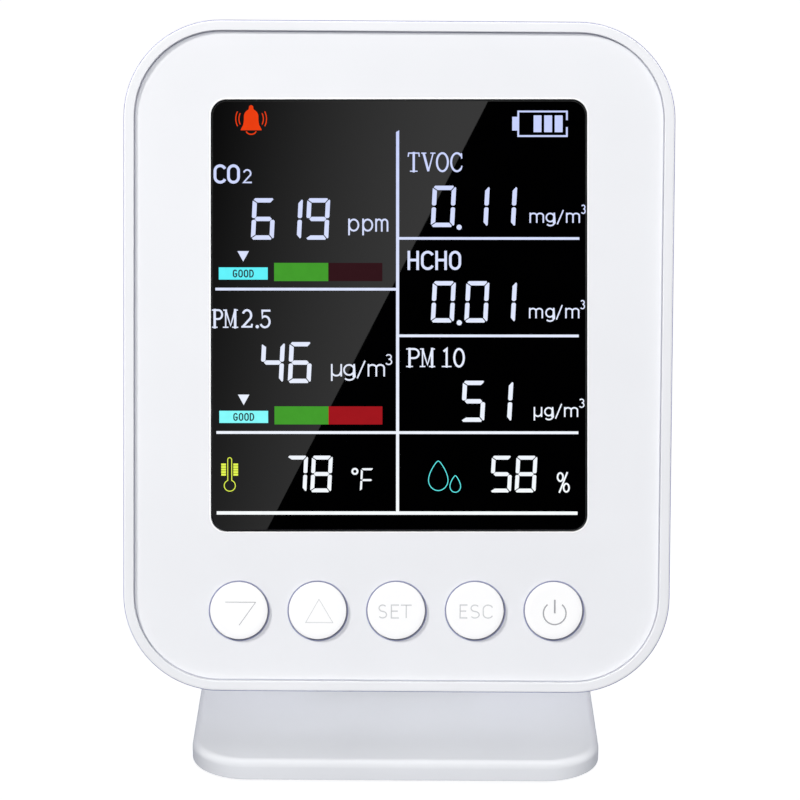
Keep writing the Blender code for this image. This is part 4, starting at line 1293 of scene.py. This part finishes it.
def side_area(outline):
    """Twice the area of an outline, positive if it runs counter-clockwise."""
    return sum(a[0] * b[1] - b[0] * a[1] for a, b in zip(outline, outline[1:] + outline[:1]))


def hinge_pin(looks, low, high, place):
    start, end = low.x, high.x
    head_radius, rim = 3.2, 0.35
    profile = [(2.6, start)]
    for angle in (0.4, 0.8, 1.2, 1.57):
        profile.append((head_radius - rim + rim * math.sin(angle), start + rim - rim * math.cos(angle)))
    profile += [(head_radius, start + 1.0), (2.0, start + 1.0), (2.0, end - 0.3), (1.7, end)]
    pin = moved(along_x(turned(profile, 48)), place)
    piece = publish("hinge_pin_fine", pin, looks["steel"], ["hinge_pin"])
    even_shading(piece)
    clip_low, clip_high = extent("hinge_clip", SHEET)
    inner, outer = 2.1, 3.4
    section = [(inner, clip_low.x), (outer - 0.15, clip_low.x), (outer, clip_low.x + 0.15)]
    section += [(outer, clip_high.x - 0.15), (outer - 0.15, clip_high.x), (inner, clip_high.x)]
    rings = [at_level(circle(radius, 48), level) for radius, level in section]
    clip = moved(along_x(loft(rings, True)), place)
    publish("hinge_clip_fine", clip, looks["steel"], ["hinge_clip"])


def flare(start, reach, drop, steps):
    angles = [math.radians(80) * step / steps for step in range(steps + 1)]
    return [(start[0] + reach * (1 - math.cos(a)), start[1] - drop * math.sin(a)) for a in angles]


def neck(looks):
    """The neck: a barrel around the pin on an arm that spreads onto the foot."""
    low, high = extent("stand_neck", GROUND)
    axis = Vector(joint("head_tilt")["pos_m"]) / MM
    base = low.z
    front = flare((axis.y - 5.0, base + 8.0), -5.0, 7.6, 20)
    back = flare((axis.y + 5.0, axis.z - 2.0), 15.0, axis.z - 2.0 - base - 0.6, 28)
    barrel = arc((axis.y, axis.z), 5.2, -15, 195, 40)
    side_view = barrel + front + [(front[-1][0], base), (back[-1][0], base)] + back[::-1]
    rings = []
    half = high.x
    easing = ((0.5, 0.0), (0.15, 0.15), (0.0, 0.5))
    sides = [(inset, step_in - half) for inset, step_in in easing]
    sides += [(inset, half - step_in) for inset, step_in in easing[::-1]]
    for inset, x in sides:
        ring = zip(grown(side_view, -inset), side_view)
        rings.append([(x, y, z if drawn_z > base + 0.01 else base) for (y, z), (drawn_y, drawn_z) in ring])
    arm = loft(rings)
    piece = publish("neck_fine", arm, looks["foot"], ["stand_neck"], GROUND, "stand")
    cut(piece, bore(30.0, (0.0, axis.y, axis.z)), GROUND, "bore")
    reshade(piece)


def foot(looks):
    """The shallow foot shell with its rounded upper edge."""
    low, high = extent("foot_shell", GROUND)
    width, depth = high.x - low.x, high.y - low.y
    roof, wall = 1.6, 1.9

    def outline(inset):
        return rounded_rectangle(width - 2 * inset, depth - 2 * inset, FOOT_CORNER - inset)

    section = [(wall, high.z - roof), (wall, low.z), (0.35, low.z), (0.1, low.z + 0.1), (0.0, low.z + 0.35)]
    section += arc((FOOT_FILLET, high.z - FOOT_FILLET), FOOT_FILLET, 180, 90, 14)
    shell = loft([at_level(outline(inset), level) for inset, level in section])
    piece = publish("foot_fine", shell, looks["foot"], ["foot_shell"], GROUND, "stand")
    even_shading(piece)


# ---------------------------------------------------------------- studio


def camera():
    """A long lens just above the face's normal. Its values were fitted to the photograph's outlines."""
    back_off, above_deg, aim_x, aim_y, roll_deg, swing_deg = 599.8, 3.804, 0.462, 59.04, 0.359, 0.041
    above, swing, roll = (math.radians(angle) for angle in (above_deg, swing_deg, roll_deg))
    level_part = math.cos(above)
    forward = Vector((math.sin(swing) * level_part, -math.sin(above), -math.cos(swing) * level_part))
    side = Vector((math.cos(swing), 0.0, math.sin(swing)))
    top = side.cross(forward)
    side_rolled = side * math.cos(roll) + top * math.sin(roll)
    top_rolled = top * math.cos(roll) - side * math.sin(roll)
    axes = TURN.to_3x3() @ Matrix((side_rolled, top_rolled, -forward)).transposed()
    data = bpy.data.cameras.new("camera")
    data.lens = 134.685
    data.sensor_width = 36.0
    obj = added("camera", data)
    place = SHEET @ (Vector((aim_x, aim_y, 0.0)) - forward * back_off)
    obj.matrix_world = Matrix.Translation(place) @ axes.to_4x4()
    bpy.context.scene.camera = obj


WHITE = (1.0, 1.0, 1.0)

# Each lamp: its name, azimuth, elevation, distance, size, level and colour. Azimuth 0 is in front, positive
# to the right. The level is the share of full white that the lamp gives a white surface facing it.
HEAD_LAMPS = (
    ("key", -43.5, 40.0, 1.4, 0.165, 0.565, (0.995, 0.985, 0.945)),
    ("front", 0.0, 35.0, 1.1, 0.8, 0.462, WHITE),
    ("side_left", -115.0, 8.0, 1.2, 0.7, 0.12, WHITE),
    ("side_right", 115.0, 8.0, 1.2, 0.7, 0.4, WHITE),
    ("back", 180.0, 8.0, 1.3, 0.8, 0.6, WHITE),
)
FOOT_LAMPS = (
    ("foot_front", -5.0, 44.0, 1.2, 0.8, 0.96, (1.0, 0.99, 0.97)),
    ("foot_low", 0.0, 1.0, 1.2, 0.8, 0.27, (1.0, 0.99, 0.96)),
    ("foot_back", 180.0, -3.0, 1.2, 0.3, 0.5, WHITE),
)


def softbox(name, azimuth_deg, elevation_deg, distance, size, level, rgb, lit_pieces, blockers=None):
    """A soft lamp that looks at the middle of the head, and lights and is blocked by only some pieces."""
    target = SHEET @ Vector((0.0, HEAD_HEIGHT / 2, 0.0))
    azimuth, elevation = math.radians(azimuth_deg), math.radians(elevation_deg)
    level_part = math.cos(elevation)
    towards = Vector((math.sin(azimuth) * level_part, -math.cos(azimuth) * level_part, math.sin(elevation)))
    data = bpy.data.lights.new(name, "AREA")
    data.shape = "DISK"
    data.size = size
    data.energy = level * (math.pi * distance) ** 2
    data.color = rgb
    obj = added(name, data)
    obj.location = target + towards * distance
    obj.rotation_mode = "QUATERNION"
    obj.rotation_quaternion = (-towards).to_track_quat("-Z", "Y")
    obj.visible_camera = False
    obj.visible_glossy = False
    obj.light_linking.receiver_collection = lit_pieces
    if blockers:
        obj.light_linking.blocker_collection = blockers


def collected(name, wanted):
    """A collection of the visible pieces whose names pass a test."""
    group = bpy.data.collections.new(name)
    for obj in bpy.context.scene.objects:
        if obj.type == "MESH" and wanted(obj.name):
            group.objects.link(obj)
    return group


AMBIENT = (0.205, 0.209, 0.228, 1.0)
STRIP_LEVEL = 1.0
RING_LEVEL = 5.0
BEHIND = (0.5, 0.51, 0.68, 1.0)


def world():
    """White to the camera, a weak even light to diffuse surfaces and, to gloss, a dark room.

    The room has one slanted strip of light in front of the face and a bright ring at its sides.
    """
    made = bpy.data.worlds.new("studio")
    made.use_nodes = True
    bpy.context.scene.world = made
    tree = made.node_tree
    nodes = Nodes(tree)
    background = tree.nodes["Background"]
    direction = tree.nodes.new("ShaderNodeTexCoord").outputs["Generated"]
    outwards = nodes.dot(direction, -INWARD)
    sideways = nodes.dot(direction, RIGHT)
    upwards = nodes.dot(direction, UP)
    facing_share = nodes.math("MAXIMUM", outwards, 0.05)
    across = nodes.math("DIVIDE", sideways, facing_share)
    along = nodes.math("DIVIDE", upwards, facing_share)
    slanted = nodes.math("SUBTRACT", across, nodes.math("MULTIPLY", along, 0.5088))
    left_of_edge = nodes.math("LESS_THAN", slanted, 0.01244)
    run = nodes.math("ADD", nodes.math("MULTIPLY", across, 9.06), nodes.math("MULTIPLY", along, -1.812))
    strip = nodes.smooth(nodes.math("ADD", run, 0.78), 0.0, 1.0)
    strip = nodes.math("MULTIPLY", nodes.math("MULTIPLY", strip, left_of_edge), STRIP_LEVEL)
    ring = nodes.smooth(outwards, 0.3, 0.9, RING_LEVEL, 0.0)
    gloss = nodes.math("ADD", strip, ring)
    gloss_colour = nodes.blended(nodes.smooth(outwards, -0.35, -0.15, 1.0, 0.0), gloss, BEHIND)
    path = tree.nodes.new("ShaderNodeLightPath")
    mixed = nodes.blended(path.outputs["Is Glossy Ray"], AMBIENT, gloss_colour)
    mixed = nodes.blended(path.outputs["Is Camera Ray"], mixed, (1.0, 1.0, 1.0, 1.0))
    tree.links.new(mixed, background.inputs["Color"])
    background.inputs["Strength"].default_value = 1.0


def floor():
    """A pale floor that reads white, with only a faint contact shadow."""
    size = 6.0
    bm = bmesh.new()
    corners = [bm.verts.new((x * size, y * size, 0.0)) for x, y in CORNER_SIGNS]
    bm.faces.new(corners)
    obj = mesh_object("floor", bm)
    obj.location.z = -0.0002
    look = bpy.data.materials.new("floor_white")
    look.use_nodes = True
    tree = look.node_tree
    shader = tree.nodes["Principled BSDF"]
    nodes = Nodes(tree)
    path = tree.nodes.new("ShaderNodeLightPath")
    glow = nodes.blended(path.outputs["Is Camera Ray"], (0.25, 0.253, 0.275, 1.0), (0.9, 0.9, 0.9, 1.0))
    glow = nodes.blended(path.outputs["Is Glossy Ray"], glow, (0.42, 0.43, 0.52, 1.0))
    tree.links.new(glow, shader.inputs["Emission Color"])
    shader.inputs["Emission Strength"].default_value = 1.0
    shader.inputs["Base Color"].default_value = (0.55, 0.55, 0.56, 1.0)
    shader.inputs["Roughness"].default_value = 1.0
    shader.inputs["Specular IOR Level"].default_value = 0.0
    obj.data.materials.append(look)


def studio():
    stand = collected("foot_pieces", lambda name: name.startswith("foot"))
    rest = collected("other_pieces", lambda name: not name.startswith("foot"))
    camera()
    world()
    floor()
    for lamp in HEAD_LAMPS:
        softbox(*lamp, rest)
    for lamp in FOOT_LAMPS:
        softbox(*lamp, stand, stand)
    bpy.context.scene.view_settings.view_transform = "Standard"


# ---------------------------------------------------------------- assembly


def main():
    looks = make_looks()
    finish_carried_over(looks)
    for build in (front_frame, front_panel, rear_cover, display, buttons, screws, hinge, neck, foot):
        build(looks)
    studio()


main()
